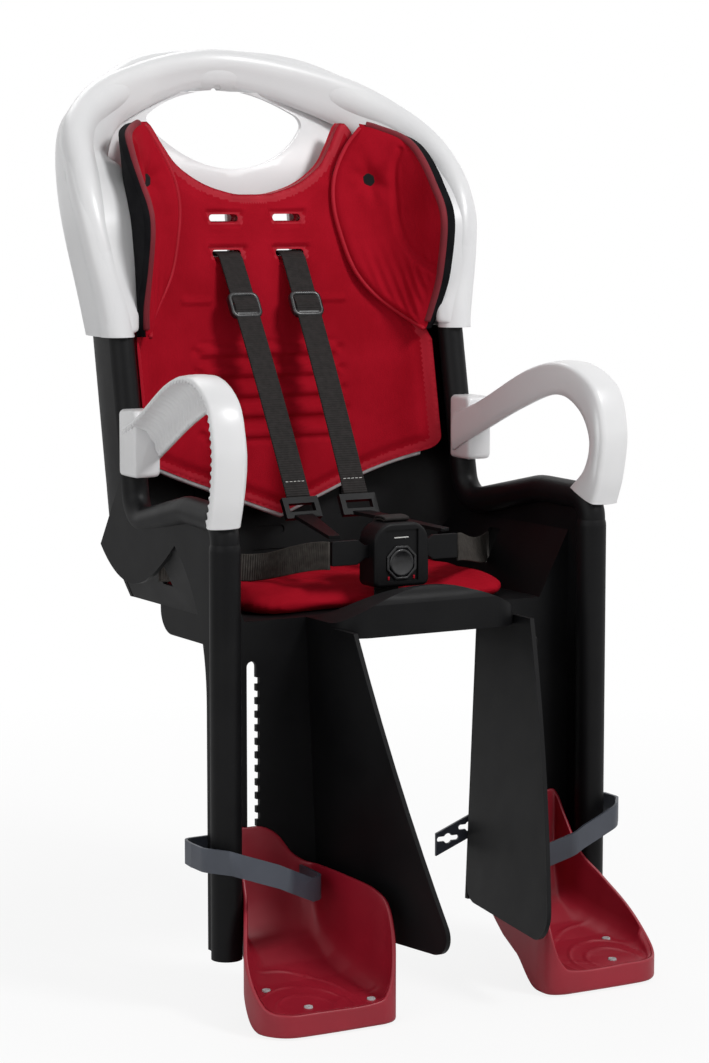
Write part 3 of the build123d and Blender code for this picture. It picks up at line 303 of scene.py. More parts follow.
def grid_faces(rows, columns, close_rows=False, close_columns=False):
    """Quads of a grid of points, stored row by row."""
    faces = []
    for r in range(rows if close_rows else rows - 1):
        for c in range(columns if close_columns else columns - 1):
            r2, c2 = (r + 1) % rows, (c + 1) % columns
            faces.append((r * columns + c, r * columns + c2, r2 * columns + c2, r2 * columns + c))
    return faces


def capped(rows, count):
    """Faces of a tube of closed rings, with one face over either end."""
    faces = grid_faces(rows, count, close_columns=True)
    faces.append(tuple(reversed(range(count))))
    faces.append(tuple((rows - 1) * count + i for i in range(count)))
    return faces


def sweep(path, section, across, outward, material, closed=False):
    """A closed section carried along a path, with capped ends, or round a closed path.

    across and outward are the section's two directions, one pair for all or one for each path point.
    """
    path = np.asarray(path, float)
    section = np.asarray(section, float)
    across = np.broadcast_to(np.asarray(across, float), path.shape)
    outward = np.broadcast_to(np.asarray(outward, float), path.shape)
    points = path[:, None] + section[None, :, :1] * across[:, None] + section[None, :, 1:] * outward[:, None]
    points = points.reshape(-1, 3).tolist()
    if closed:
        return points, grid_faces(len(path), len(section), True, True), material, None
    uv = [(u, along) for along in run_along(path) for u in section[:, 0]]
    return points, capped(len(path), len(section)), material, uv


def round_rectangle(width, height, radius, steps=4):
    """Points of a rectangle with round corners, about its middle."""
    points = []
    for corner in range(4):
        cx = (width / 2 - radius) * (1, -1, -1, 1)[corner]
        cy = (height / 2 - radius) * (1, 1, -1, -1)[corner]
        for step in range(steps + 1):
            angle = math.pi / 2 * (corner + step / steps)
            points.append((cx + radius * math.cos(angle), cy + radius * math.sin(angle)))
    return points


def tube(path, radius, material, up=(0, 0, 1), count=12):
    """A round bar along a path; up is any direction that the path doesn't take."""
    ahead = headings(path)
    across = unit(np.cross(ahead, np.broadcast_to(np.asarray(up, float), ahead.shape)))
    angles = [2 * math.pi * i / count for i in range(count)]
    section = [(radius * math.cos(a), radius * math.sin(a)) for a in angles]
    return sweep(path, section, across, np.cross(across, ahead), material)


def lathe(profile, centre, material, count, upright=False):
    """A profile of (radius, place along the axis) turned about an axis along Y, or along Z if upright.

    The centre is where the axis stands: (x, z), or (x, y) if upright.
    """
    points = []
    for turn in range(count):
        angle = 2 * math.pi * turn / count
        for radius, place in profile:
            u, v = centre[0] + radius * math.cos(angle), centre[1] + radius * math.sin(angle)
            points.append((u, v, place) if upright else (u, place, v))
    return points, grid_faces(count, len(profile), close_rows=True), material, None


def inside(loops, points):
    """Which points lie inside an outline and outside its holes, given as closed loops."""
    found = np.zeros(len(points), bool)
    for loop in loops:
        for (x1, y1), (x2, y2) in zip(loop, np.roll(loop, -1, axis=0)):
            crosses = (y1 > points[:, 1]) != (y2 > points[:, 1])
            with np.errstate(divide="ignore", invalid="ignore"):
                at = x1 + (points[:, 1] - y1) * (x2 - x1) / (y2 - y1)
            found ^= crosses & (points[:, 0] < at)
    return found


def distance(line, points, closed=True):
    """Distance of points from a polyline in the plane."""
    line = np.asarray(line, float)
    points = np.asarray(points, float)
    ends = np.roll(line, -1, axis=0) if closed else line[1:]
    starts = line if closed else line[:-1]
    best = np.full(len(points), 1e9)
    for a, b in zip(starts, ends):
        along = b - a
        share = np.clip(((points - a) @ along) / max(along @ along, 1e-9), 0, 1)
        best = np.minimum(best, np.linalg.norm(points - a - share[:, None] * along, axis=1))
    return best


def panel(outline, holes, spacing):
    """Triangles that fill an outline: plane points, faces, and the closed loops of its borders."""
    loops = [np.asarray(outline, float)] + [np.asarray(h, float) for h in holes]
    low, high = loops[0].min(axis=0), loops[0].max(axis=0)
    grid = []
    for row, v in enumerate(np.arange(low[1], high[1], spacing * 0.866)):
        shift = spacing / 2 * (row % 2)
        grid.extend((u, v) for u in np.arange(low[0] + shift, high[0], spacing))
    grid = np.array(grid)
    keep = inside(loops, grid)
    for loop in loops:
        keep &= distance(loop, grid) > spacing * 0.55
    points, edges, rings = [], [], []
    for loop in loops:
        start = len(points)
        ring = list(range(start, start + len(loop)))
        points.extend(map(tuple, loop))
        edges.extend(zip(ring, ring[1:] + ring[:1]))
        rings.append(ring)
    points.extend(map(tuple, grid[keep]))
    made = delaunay_2d_cdt([Vector(p) for p in points], edges, [], 0, 1e-5)
    flat = np.array([tuple(p) for p in made[0]])
    faces = np.array([list(f) for f in made[2]])
    good = inside(loops, flat[faces].mean(axis=1))
    order = {old: new for new, olds in enumerate(made[3]) for old in olds}
    return flat, faces[good], [[order[i] for i in ring] for ring in rings]


def slab(front, back, faces, rings):
    """Points, sheet faces and rim faces of a solid between two sheets with the same faces."""
    count = len(front)
    sheets = [tuple(f) for f in faces] + [tuple(count + i for i in reversed(f)) for f in faces]
    rim = [(a, b, count + b, count + a) for ring in rings for a, b in zip(ring, ring[1:] + ring[:1])]
    return np.vstack([front, back]).tolist(), sheets, rim


# Back pad: its foot, thickness and outline, the strap slots in their recesses, two bars, ribs and side curl

PAD_FRONT = 103.2
PAD_V_TIP = 81.0
PAD_V_SLOPE = 0.378
PAD_GRID = 2.6
PAD_BORDER = 7.5
PAD_PUFF = 3.4
PAD_THICK = (15.0, 9.0)
PAD_THIN_X = (110.0, 150.0)
BACKING_X = 138.0
BACKING_SIZE = (7.0, 6.0)
FLANK_X = 151.0
FLANK_CORNER = 15.0
PAD_SHOULDER = (
    (FLANK_X, 236), (145, 256), (131, 290), (126, 330), (121, 380), (114, 418), (106, 433), (98, 433), (86, 413),
    (73, 395), (49, 379), (20, 370), (0, 369),
)
SLOT_X = 32.5
SLOT_Z = (316.0, 348.0)
SLOTS = [(side * SLOT_X, slot_z) for side in SIDES.values() for slot_z in SLOT_Z]
SLOT_SIZE = (29.0, 6.5)
RECESS_WIDTHS = (39.0, 25.0)
RECESS_HEIGHT = 14.0
BAR_X = (54.0, 85.0)
BAR_Z = 274.0
BAR_WIDTH = 5.0
BAR_RISE = 2.6
RIB_Z = (155.0, 173.5, 192.0, 210.5, 229.0)
RIB_X = 74.0
RIB_RISE = 2.4
DIMPLE_DEPTH = 3.4
CURL_CENTRE = (73.84, -89.21)
CURL_RADIUS = 89.31
CURL_START = 78.0
CURL_BACK = 0.98


def curl(x):
    """How far forward the pad's side has curled at a distance from the middle."""
    beyond = np.clip(np.abs(x), CURL_START, CURL_CENTRE[0] + CURL_RADIUS - 3)
    return -(CURL_CENTRE[1] + np.sqrt(CURL_RADIUS**2 - (beyond - CURL_CENTRE[0]) ** 2))


def pad_outline():
    """Front outline of the pad, from the foot's point round by the child's left."""
    corner_x = FLANK_X - FLANK_CORNER
    half = [(0, PAD_V_TIP)]
    half += [(x, PAD_V_TIP + PAD_V_SLOPE * x) for x in np.linspace(6, corner_x - 2, 26)]
    base = PAD_V_TIP + PAD_V_SLOPE * corner_x + FLANK_CORNER * 1.07
    for angle in np.radians(np.linspace(-65, 0, 7)):
        half.append((corner_x + FLANK_CORNER * math.cos(angle), base + FLANK_CORNER * math.sin(angle)))
    half += [(FLANK_X, z) for z in np.linspace(base + 6, 232, 14)]
    half += [tuple(p) for p in curve_through(PAD_SHOULDER, 70)]
    return half + [(-x, z) for x, z in half[-2:0:-1]]


def pad_relief(flat, outline):
    """How far each point of the pad's front stands behind its front plane."""
    x, z = flat[:, 0], flat[:, 1]
    edge = distance(outline, flat)
    back = 4.5 - 2.0 * np.sqrt(np.clip(1 - (1 - np.clip(edge / 2.5, 0, 1)) ** 2, 0, 1))
    back -= PAD_PUFF * smooth_step(PAD_BORDER, 17, edge)
    for slot_x, slot_z in SLOTS:
        u, v = x - slot_x, z - slot_z
        share = np.clip((v + RECESS_HEIGHT / 2) / RECESS_HEIGHT, 0, 1)
        half = (RECESS_WIDTHS[1] + (RECESS_WIDTHS[0] - RECESS_WIDTHS[1]) * share) / 2
        depth = np.minimum(half - np.abs(u), RECESS_HEIGHT / 2 - np.abs(v))
        back += PAD_PUFF * smooth_step(-1.2, 1.2, depth) - 1.1 * np.exp(-(((depth + 2.2) / 1.3) ** 2))
    for side in SIDES.values():
        reach = np.abs(x * side - sum(BAR_X) / 2) - (BAR_X[1] - BAR_X[0] - BAR_WIDTH) / 2
        gap = np.hypot(np.clip(reach, 0, None), z - BAR_Z)
        back -= BAR_RISE * smooth_step(BAR_WIDTH / 2 + 1.2, BAR_WIDTH / 2 - 1.2, gap)
        for rib_z in RIB_Z:
            back += DIMPLE_DEPTH * np.exp(-(((x * side - RIB_X) / 4.5) ** 2 + ((z - rib_z) / 3.2) ** 2))
    pitch = RIB_Z[1] - RIB_Z[0]
    band = smooth_step(RIB_Z[0] - pitch * 0.6, RIB_Z[0] - pitch * 0.3, z) * (
        1 - smooth_step(RIB_Z[-1] + pitch * 0.3, RIB_Z[-1] + pitch * 0.6, z))
    band *= 1 - smooth_step(RIB_X - 8, RIB_X + 2, np.abs(x))
    back -= RIB_RISE * band * np.tanh(2.5 * np.cos(2 * math.pi * (z - RIB_Z[0]) / pitch))
    creases = clouds(flat, (1, 34, 60, 3.1), (0.5, 9, 40, 7.7))
    return back + 0.55 * creases * smooth_step(10, 30, edge)


def build_back_pad():
    """Formed pad: stuffed middle, pressed border and slot plates, one closed mesh with two finishes."""
    outline = pad_outline()
    shape = round_rectangle(*SLOT_SIZE, 3.0)
    holes = [[(slot_x + u, slot_z + v) for u, v in reversed(shape)] for slot_x, slot_z in SLOTS]
    flat, faces, rings = panel(outline, holes, PAD_GRID)
    x, z = flat[:, 0], flat[:, 1]
    plane = PAD_FRONT + LEAN * z
    curled = curl(x) * (1 - smooth_step(262, 300, z))
    front = np.stack([x, plane + pad_relief(flat, outline) - curled, z], axis=1)
    thick = PAD_THICK[0] + (PAD_THICK[1] - PAD_THICK[0]) * smooth_step(*PAD_THIN_X, np.abs(x))
    back = np.stack([x, plane + thick - curled * CURL_BACK, z], axis=1)
    points, sheets, rim = slab(front, back, faces, rings)
    made = piece("back_pad_cover", [(points, sheets + rim, knit, None)], replaces=["back_pad"])
    made.data.materials.append(weld)
    middles = flat[faces].mean(axis=1)
    pressed = distance(outline, middles) < PAD_BORDER
    for place in SLOTS:
        u, v = np.abs(middles - place).T
        pressed |= (u < RECESS_WIDTHS[0] / 2 - 2) & (v < RECESS_HEIGHT / 2 - 1)
    marks = list(pressed.astype(int)) + [1] * (len(pressed) + len(rim))
    made.data.polygons.foreach_set("material_index", marks)


def build_pad_backing():
    """Pale felt layer that shows under the pad's pointed foot."""
    half = [(x, PAD_V_TIP + PAD_V_SLOPE * x) for x in np.linspace(0, BACKING_X, 30)]
    x, z = np.array([(-x, z) for x, z in reversed(half)] + half[1:]).T
    path = np.stack([x, PAD_FRONT + LEAN * z + 8.5 - CURL_BACK * curl(x), z - 1.0], axis=1)
    strip = sweep(path, round_rectangle(*BACKING_SIZE, 2.0), (0, 1, 0), (0, 0, 1), felt)
    made = piece("pad_backing", [strip])


# Head bolsters

BOLSTER_CENTRE = (78.0, -71.0)
BOLSTER_RADIUS = 71.0
BOLSTER_GRID = (120, 56)
BOLSTER_RIDGE = (
    (36, 430), (19.6, 411.5), (5.5, 386), (1.4, 361), (5.3, 335), (16, 302), (33, 279), (56, 261), (83, 246),
)
BOLSTER_OUTER = ((36, 434), (54, 430), (88, 415), (114, 380), (128, 348), (114, 303), (94, 266), (83, 246))
BOLSTER_GROOVE = ((76.5, 410), (68.3, 393), (66.6, 370), (67.7, 340), (79.6, 315.5), (111.6, 297))
SNAP = (40.6, 382.3)
# How far the black sheet of painted shade behind the bolster reaches past its outer edge
SHADE_CLOTH_REACH = 3.0
CORD_RADIUS = 2.1
CORD_LIFT = 4.2
HEM_RADIUS = 3.4
HEM_LIFT = 0.6


def curl_place(a, z, lift):
    """Point on the bolster's hollow face: arc distance from the pad, height and lift off the face."""
    quarter = BOLSTER_RADIUS * math.pi / 2
    angle = np.clip(a, 0, quarter) / BOLSTER_RADIUS
    radius = BOLSTER_RADIUS - lift
    x = BOLSTER_CENTRE[0] + np.minimum(a, 0) + radius * np.sin(angle)
    y = PAD_FRONT - 0.4 + LEAN * z + BOLSTER_CENTRE[1] + radius * np.cos(angle) - np.clip(a - quarter, 0, None)
    return np.stack([x, y, z], axis=-1)


def bolster_lift(a, z, ridge, outer):
    """Stuffing height over the bolster's face."""
    flat = np.stack([a, z], axis=-1).reshape(-1, 2)
    from_ridge = distance(ridge, flat, closed=False).reshape(a.shape)
    from_outer = distance(outer, flat, closed=False).reshape(a.shape)
    edge = np.minimum(from_ridge, from_outer)
    groove_line = curve_through(BOLSTER_GROOVE, 60)
    groove = distance(groove_line, flat, closed=False).reshape(a.shape)
    beyond = np.interp(z, groove_line[::-1, 1], groove_line[::-1, 0])
    crescent = smooth_step(-2, 8, a - beyond)
    rise = np.minimum(np.clip(from_ridge / 8, 0, 1), np.clip(from_outer / 22, 0, 1))
    lift = 9.0 * np.sqrt(1 - (1 - rise) ** 2) * (1 - 0.45 * crescent)
    lift -= 4.6 * np.exp(-((groove / 3.2) ** 2)) * smooth_step(2, 10, edge)
    u, v = a - SNAP[0], z - SNAP[1]
    far = np.hypot(u, v)
    lift -= np.clip(lift - 1.0, 0, None) * np.exp(-((far / 11.0) ** 2))
    fan = np.sin(6 * np.arctan2(v, u) + 0.8) * np.exp(-((far - 17) / 9) ** 2)
    low = smooth_step(335, 290, z) * np.sin(2 * math.pi * (a + 0.35 * (z - 300)) / 11)
    wild = clouds(flat, (1, 15, 34, 1.7)).reshape(a.shape)
    return lift + (0.7 * fan + 0.55 * low + 1.3 * wild) * smooth_step(3, 12, edge)


def build_bolster(name):
    """Stuffed lobe with a corded ridge, a bound outer edge and a black sheet of painted shade behind it that
    reaches past it.
    """
    rows, columns = BOLSTER_GRID
    ridge = curve_through(BOLSTER_RIDGE, rows)
    outer = curve_through(BOLSTER_OUTER, rows)
    share = np.linspace(0, 1, columns)[None, :]
    a = ridge[:, :1] + (outer[:, :1] - ridge[:, :1]) * share
    z = ridge[:, 1:] + (outer[:, 1:] - ridge[:, 1:]) * share
    front = curl_place(a, z, bolster_lift(a, z, ridge, outer)).reshape(-1, 3)
    spare = np.sin(np.pi * np.linspace(0, 1, rows))[:, None] ** 0.5
    depth = 1.5 + 6.5 * np.sin(np.pi * share**0.7 * 0.5) * np.ones_like(a)
    # Back sheet, reaching past the outer edge so its black shows as painted shade in the gap by the hood
    back = curl_place(a + SHADE_CLOTH_REACH * spare * share**4, z, -depth).reshape(-1, 3)
    faces = grid_faces(rows, columns)
    count = rows * columns
    last = count - columns
    ring = [*range(columns), *range(2 * columns - 1, count, columns),
            *range(count - 2, last - 1, -1), *range(last - columns, 0, -columns)]
    rim = [(i, j, count + j, count + i) for i, j in zip(ring, ring[1:] + ring[:1])]
    both = np.vstack([front, back]).tolist()
    cover = (both, [tuple(reversed(f)) for f in faces], knit, None)
    # Back sheet and rim in black cloth: painted shade for the shadowed gap behind the bolster
    inner = (both, [tuple(count + i for i in f) for f in faces] + rim, shade_cloth, None)
    lip = curl_place(ridge[:, 0] + 0.5, ridge[:, 1], CORD_LIFT)
    cord = tube(lip, CORD_RADIUS, weld, up=(0, -1, 0), count=10)
    hem = curl_place(outer[4:-4, 0] - 2.0, outer[4:-4, 1], HEM_LIFT)
    band = tube(hem, HEM_RADIUS, binding, up=(0, -1, 0))
    parts = on_side(name, [cover, inner, cord, band])
    made = piece(f"bolster_cover_{name}", parts, replaces=[f"bolster_{name}"])


# Seat cushion

CUSHION_HALF = 134.0
CUSHION_Y = (-71.0, 124.0)
CUSHION_Z = (21.0, 33.0)
CUSHION_CORNER = 30.0
CUSHION_VOXEL = 5.0
CUSHION_PRESSURE = 4.0
CUSHION_FRAMES = 20
CUSHION_RISE = 6.0
CUSHION_LIMITS = (19.4, 38.6)
CUSHION_SPARE = 4.5
BUCKLE_REACH = (34.0, -48.0)


def cushion_blank():
    """Slightly small start shape of the cushion."""
    middle = sum(CUSHION_Y) / 2
    shape = round_rectangle(2 * CUSHION_HALF, CUSHION_Y[1] - CUSHION_Y[0], CUSHION_CORNER, 8)
    low, high = CUSHION_Z
    rings = [(0.97, low), (1.0, low + 3), (1.0, high - 3), (0.97, high)]
    points = [(x * k, middle + y * k, z) for k, z in rings for x, y in shape]
    return points, capped(len(rings), len(shape))


def inflate(made):
    """Swell a closed mesh by cloth pressure, no point moving further than the rise, and give its points."""
    remesh = made.modifiers.new("remesh", "REMESH")
    remesh.mode = "VOXEL"
    remesh.voxel_size = CUSHION_VOXEL * MM
    bpy.context.view_layer.objects.active = made
    bpy.ops.object.modifier_apply(modifier="remesh")
    start = np.array([v.co[:] for v in made.data.vertices])
    cloth = made.modifiers.new("cloth", "CLOTH")
    cloth.settings.use_pressure = True
    cloth.settings.uniform_pressure_force = CUSHION_PRESSURE
    cloth.settings.effector_weights.gravity = 0
    cloth.settings.quality = 5
    for step in range(1, CUSHION_FRAMES + 1):
        scene.frame_set(step)
    shaped = made.evaluated_get(bpy.context.evaluated_depsgraph_get())
    move = np.array([v.co[:] for v in shaped.data.vertices]) - start
    made.modifiers.remove(cloth)
    scene.frame_set(1)
    size = np.linalg.norm(move, axis=1)
    start = start + move * np.minimum(1, CUSHION_RISE * MM / np.maximum(size, 1e-9))[:, None]
    return start / MM


def crease_cushion(points):
    """Pulled wrinkles beside the buckle, the welded border, and room for the buckle's foot."""
    x, y, z = points.T
    top = smooth_step(24, 33, z)
    edge = np.minimum(CUSHION_HALF + 4 - np.abs(x), np.minimum(y - CUSHION_Y[0] + 4, CUSHION_Y[1] + 4 - y))
    wave = clouds(points[:, :2], (1, 40, 22, 5.5), (0.6, 16, 12, 2.2))
    fan = np.sin(np.arctan2(y + 30, x + 20) * 11) * np.exp(-(np.hypot(x + 55, y + 25) / 55) ** 2)
    rise = 3.0 * smooth_step(8, 60, edge) + 1.6 * wave + 1.3 * fan
    rise -= 2.0 * np.exp(-((edge - 11) / 3.0) ** 2)
    near = (1 - smooth_step(BUCKLE_REACH[0], BUCKLE_REACH[0] + 24, np.abs(x))) * (
        1 - smooth_step(BUCKLE_REACH[1], BUCKLE_REACH[1] + 30, y))
    lifted = z + top * rise
    under, limit = CUSHION_LIMITS
    points[:, 2] = np.maximum(np.minimum(lifted, limit + CUSHION_SPARE * (1 - near)), under)
    return points


def build_cushion():
    """Stuffed seat pad, swollen and creased from its blank."""
    points, faces = cushion_blank()
    made = piece("seat_cushion_cover", [(points, faces, knit, None)], replaces=["seat_cushion"])
    shaped = crease_cushion(inflate(made))
    made.data.vertices.foreach_set("co", (shaped * MM).ravel())
    made.data.polygons.foreach_set("use_smooth", [True] * len(made.data.polygons))
    subdivide(made)


# Harness

STRAP_TOP = (SLOT_X, SLOT_Z[0])
STRAP_EXIT = 3.0
STRAP_BOW = 2.5
RING = (29.0, 33.0, 96.0)
RING_HEIGHT = 20.0
WEBBING = (24.0, 1.8)
ADJUSTER = (32.0, 26.0)
ADJUSTER_SHARE = 0.21
ADJUSTER_RIM = (4.4, 6.2)
ADJUSTER_BARS = ((1.0, (5.0, 3.6)), (ADJUSTER[1] / 2 - 4.5, (6.0, 5.6)))


def strap_plane():
    """Origin, heading and crosswise direction of the left shoulder strap's upright plane."""
    start = np.array([STRAP_TOP[0], PAD_FRONT + LEAN * STRAP_TOP[1], 0.0])
    ahead = np.array([RING[0], RING[1], 0.0]) - start
    reach = np.linalg.norm(ahead)
    ahead /= reach
    return start, ahead, np.array([ahead[1], -ahead[0], 0.0]), reach


def strap_point(along, height, aside=0.0):
    start, ahead, crosswise, _ = strap_plane()
    return start + ahead * along + crosswise * aside + np.array([0, 0, height])


def strap_run():
    """Slot mouth, unit direction and length of the strap's straight run, in its own plane."""
    reach = strap_plane()[3]
    top = np.array([STRAP_EXIT, STRAP_TOP[1]])
    run = np.array([reach, RING[2]]) - top
    length = np.linalg.norm(run)
    return top, run / length, length


def ribbon(path, crosswise, material, width=WEBBING[0], thickness=WEBBING[1]):
    """Flat webbing along a path, its width along the crosswise direction."""
    ahead = headings(path)
    crosswise = np.broadcast_to(np.asarray(crosswise, float), ahead.shape)
    outward = unit(np.cross(crosswise, ahead))
    return sweep(path, round_rectangle(width, thickness, thickness * 0.45, 3), crosswise, outward, material)


def stitches(places, direction, length=2.6, radius=0.4):
    """Short thread stitches, each a thin rounded bar along a direction."""
    direction = np.asarray(direction, float)
    parts = []
    for place in places:
        path = np.asarray(place) + np.outer(np.linspace(-0.5, 0.5, 5) * length, direction)
        parts.append(tube(path, radius, thread, up=(0.1, -0.3, 1), count=6))
    return parts


def build_shoulder_strap(name):
    """Webbing from its slot to the ring, bowed and lifted over the slider's bar, with a row of stitches."""
    top, run, length = strap_run()
    crosswise = strap_plane()[2]
    out = np.array([-run[1], run[0]])
    end = length - RING_HEIGHT / 2 - 0.2
    flat = [(-15.0, top[1] + 1.0), (-5.0, top[1] + 0.8), (top[0] - 2.0, top[1] - 0.5)]
    bar = ADJUSTER_SHARE * length
    for far in np.linspace(5, end, 90):
        bow = STRAP_BOW * math.sin(math.pi * far / length) + 2.4 * math.exp(-((far - bar - 1) / 5.5) ** 2)
        flat.append(tuple(top + run * far + out * bow))
    path = [strap_point(u, z) for u, z in spaced(np.array(flat), 110)]
    seam = end - 15
    u, z = top + run * seam + out * (STRAP_BOW * math.sin(math.pi * seam / length) + 1.1)
    row = stitches([strap_point(u, z, k) for k in np.linspace(-8, 8, 5)], crosswise)
    parts = on_side(name, [ribbon(path, crosswise, strap_cloth), *row])
    piece(f"shoulder_strap_webbing_{name}", parts, replaces=[f"shoulder_strap_{name}"])


def build_adjuster(name):
    """Slider frame with a crossbar that the strap climbs over."""
    top, run, length = strap_run()
    crosswise = strap_plane()[2]
    u, z = top + run * ADJUSTER_SHARE * length
    start = strap_point(u, z)
    down = strap_point(u + run[0], z + run[1]) - start
    out = np.cross(crosswise, down)
    middle = start + out * 0.4
    loop = round_rectangle(ADJUSTER[0] - ADJUSTER_RIM[0], ADJUSTER[1] - ADJUSTER_RIM[0], 5.0, 6)
    loop = spaced(np.array(loop + loop[:1]), 73)[:-1]
    path = middle + loop[:, :1] * crosswise + loop[:, 1:] * down
    ahead = unit(np.roll(loop, -1, axis=0) - np.roll(loop, 1, axis=0))
    aside = ahead[:, 1:] * crosswise - ahead[:, :1] * down
    parts = [sweep(path, round_rectangle(*ADJUSTER_RIM, 1.9), aside, out, gloss, closed=True)]
    for place, size in ADJUSTER_BARS:
        bar = middle + down * place + np.outer(np.linspace(-0.5, 0.5, 7) * (ADJUSTER[0] - 5), crosswise)
        parts.append(sweep(bar, round_rectangle(*size, 1.7), down, out, gloss))
    piece(f"strap_slider_{name}", on_side(name, parts), replaces=[f"strap_adjuster_{name}"])


LAP_START = (167.5, 36.0)
LAP_TAUT = ((140.0, 4.0), (102.0, -38.0))
LAP_SLACK = ((130.0, 18.0), (96.0, -6.0), (84.0, -40.0))
LAP_END = (63.5, -79.0)
LAP_Z = (52.0, 68.4)
LAP_SAG = 4.0
LAP_TIP = 0.35
LAP_ROWS = 60


def build_lap_belts():
    """The left belt drawn taut, the right one slack and rising late."""
    shapes = {"left": (LAP_TAUT, 0.0, LAP_SAG), "right": (LAP_SLACK, 0.45, 0.0)}
    share = np.linspace(0, 1, LAP_ROWS)
    for name, (route, rising, sag) in shapes.items():
        plan = curve_through([LAP_START, *route, LAP_END], LAP_ROWS)
        rise = smooth_step(rising, 1.0, share)
        height = LAP_Z[0] + (LAP_Z[1] - LAP_Z[0]) * rise - sag * np.sin(np.pi * share)
        path = np.column_stack([plan, height])
        ahead = headings(path)
        tip = LAP_TIP * np.sin(np.pi * share)[:, None]
        crosswise = np.array([0, 0, 1.0]) * np.cos(tip) + np.cross(ahead, (0, 0, 1)) * np.sin(tip)
        crosswise -= ahead * np.sum(ahead * crosswise, axis=1)[:, None]
        parts = on_side(name, [ribbon(path, unit(crosswise), belt_cloth)])
        piece(f"lap_belt_webbing_{name}", parts, replaces=[f"lap_belt_{name}"])


CROTCH_REAR = -64.8
CROTCH_LOWER = (
    (CROTCH_REAR + 15, 14.0), (CROTCH_REAR + 4, 14.0), (CROTCH_REAR, 17), (CROTCH_REAR, 60), (CROTCH_REAR, 91),
    (CROTCH_REAR - 2.2, 95.3), (-72, 96.2), (-80, 95.9),
)
CROTCH_UPPER = (
    (CROTCH_REAR + 1.9, 80), (CROTCH_REAR + 1.9, 92), (CROTCH_REAR - 1.5, 97.4), (-72, 98.4), (-80, 98.0),
    (-83.5, 96.6), (-80, 95.2),
)


def build_crotch_strap():
    """Webbing up behind the buckle, folded twice over its top."""
    parts = []
    for line in (CROTCH_LOWER, CROTCH_UPPER):
        path = [(0, y, z) for y, z in curve_through(line, 60)]
        parts.append(ribbon(path, (1, 0, 0), strap_cloth))
    piece("crotch_strap_webbing", parts, replaces=["crotch_strap"])


# Buckle

BUTTON_Z = 60.0
BUTTON_PROFILE = (
    (0.1, -90.0), (4, -90.2), (7.5, -90.8), (9.6, -91.6), (10.6, -91.9), (11.5, -91.6), (11.9, -90.6),
    (11.9, -87.0), (14.4, -86.8), (14.4, -84.4), (0.1, -84.4),
)
BUCKLE_FRONT = -92.0
BEZEL_RADIUS = 14.4
BEZEL_BAR = 2.6


def build_buckle_details():
    """Push button, and an eight-sided bezel round it with a pale line and two red accents."""
    button = lathe(BUTTON_PROFILE, (0, BUTTON_Z), gloss, 48)
    piece("buckle_push_button", [button], "button", ["buckle_button"])
    angles = [math.pi / 8 + turn * math.pi / 4 for turn in range(8)]
    corners = [(BEZEL_RADIUS * math.cos(a), BEZEL_RADIUS * math.sin(a)) for a in angles]
    x, z = spaced(np.array(corners + corners[:1]), 65)[:-1].T
    path = np.column_stack([x, np.full(len(x), BUCKLE_FRONT + 1.6), BUTTON_Z + z])
    way = unit(np.column_stack([x, np.zeros(len(x)), z]))
    parts = [sweep(path, round_rectangle(BEZEL_BAR, BEZEL_BAR, 0.8), way, (0, 1, 0), gloss, closed=True)]
    line = [(x, BUCKLE_FRONT + 1.9, 81.5) for x in np.linspace(-7, 7, 9)]
    parts.append(tube(line, 0.55, thread, count=8))
    for x in (-12.5, 12.5):
        mark = [(x, BUCKLE_FRONT + 1.8, z) for z in np.linspace(45.6, 48.6, 5)]
        parts.append(tube(mark, 0.9, weld, up=(0, -1, 0), count=8))
    piece("buckle_bezel", parts)


SPRING_LEAF = ((-83.3, 67.0), (-77.5, 63.6), (-72.2, 60.0), (-77.5, 56.4), (-83.3, 53.0))
SPRING_SIZE = (10.0, 0.8)


def build_spring():
    """Bent leaf behind the button, which the button presses together in use; built here at rest, in a mesh of its
    own.
    """
    leaf = [(0, y, z) for y, z in curve_through(SPRING_LEAF, 40)]
    parts = [ribbon(leaf, (1, 0, 0), steel, *SPRING_SIZE)]
    made = piece("buckle_leaf_spring", parts, replaces=["buckle_spring"])
    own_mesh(made)


# Arms

ARM_ORIGIN = np.array([165.0, 98.0, 0.0])
ARM_AHEAD = np.array([19.0, -203.0, 0.0]) / math.hypot(19.0, 203.0)
ARM_OUT = np.array([-ARM_AHEAD[1], ARM_AHEAD[0], 0.0])
ARM_HALF = 15.0
ARM_TOP = ((22, 171), (60, 184), (130, 216), (180, 224), (222, 206), (236, 169), (232, 130), (223, 103))
ARM_UNDER = ((22, 136), (57, 152), (123, 181), (172, 196), (203, 185), (218, 160), (212, 134), (193, 116))
ARM_RIBS = 44
ARM_ROWS = 480
ARM_WALL = 4.0
ARM_RIB = 3.2
CLIP_PLACE = (168.5, 157.0)
CLIP_SIZE = (25.0, 58.0)
CLIP_STEPS = ((53.0, 0.86), (53.6, 0.93), (55.0, 0.98), (58.0, 1.0), (70.0, 1.0), (82.0, 1.0), (83.5, 0.98))


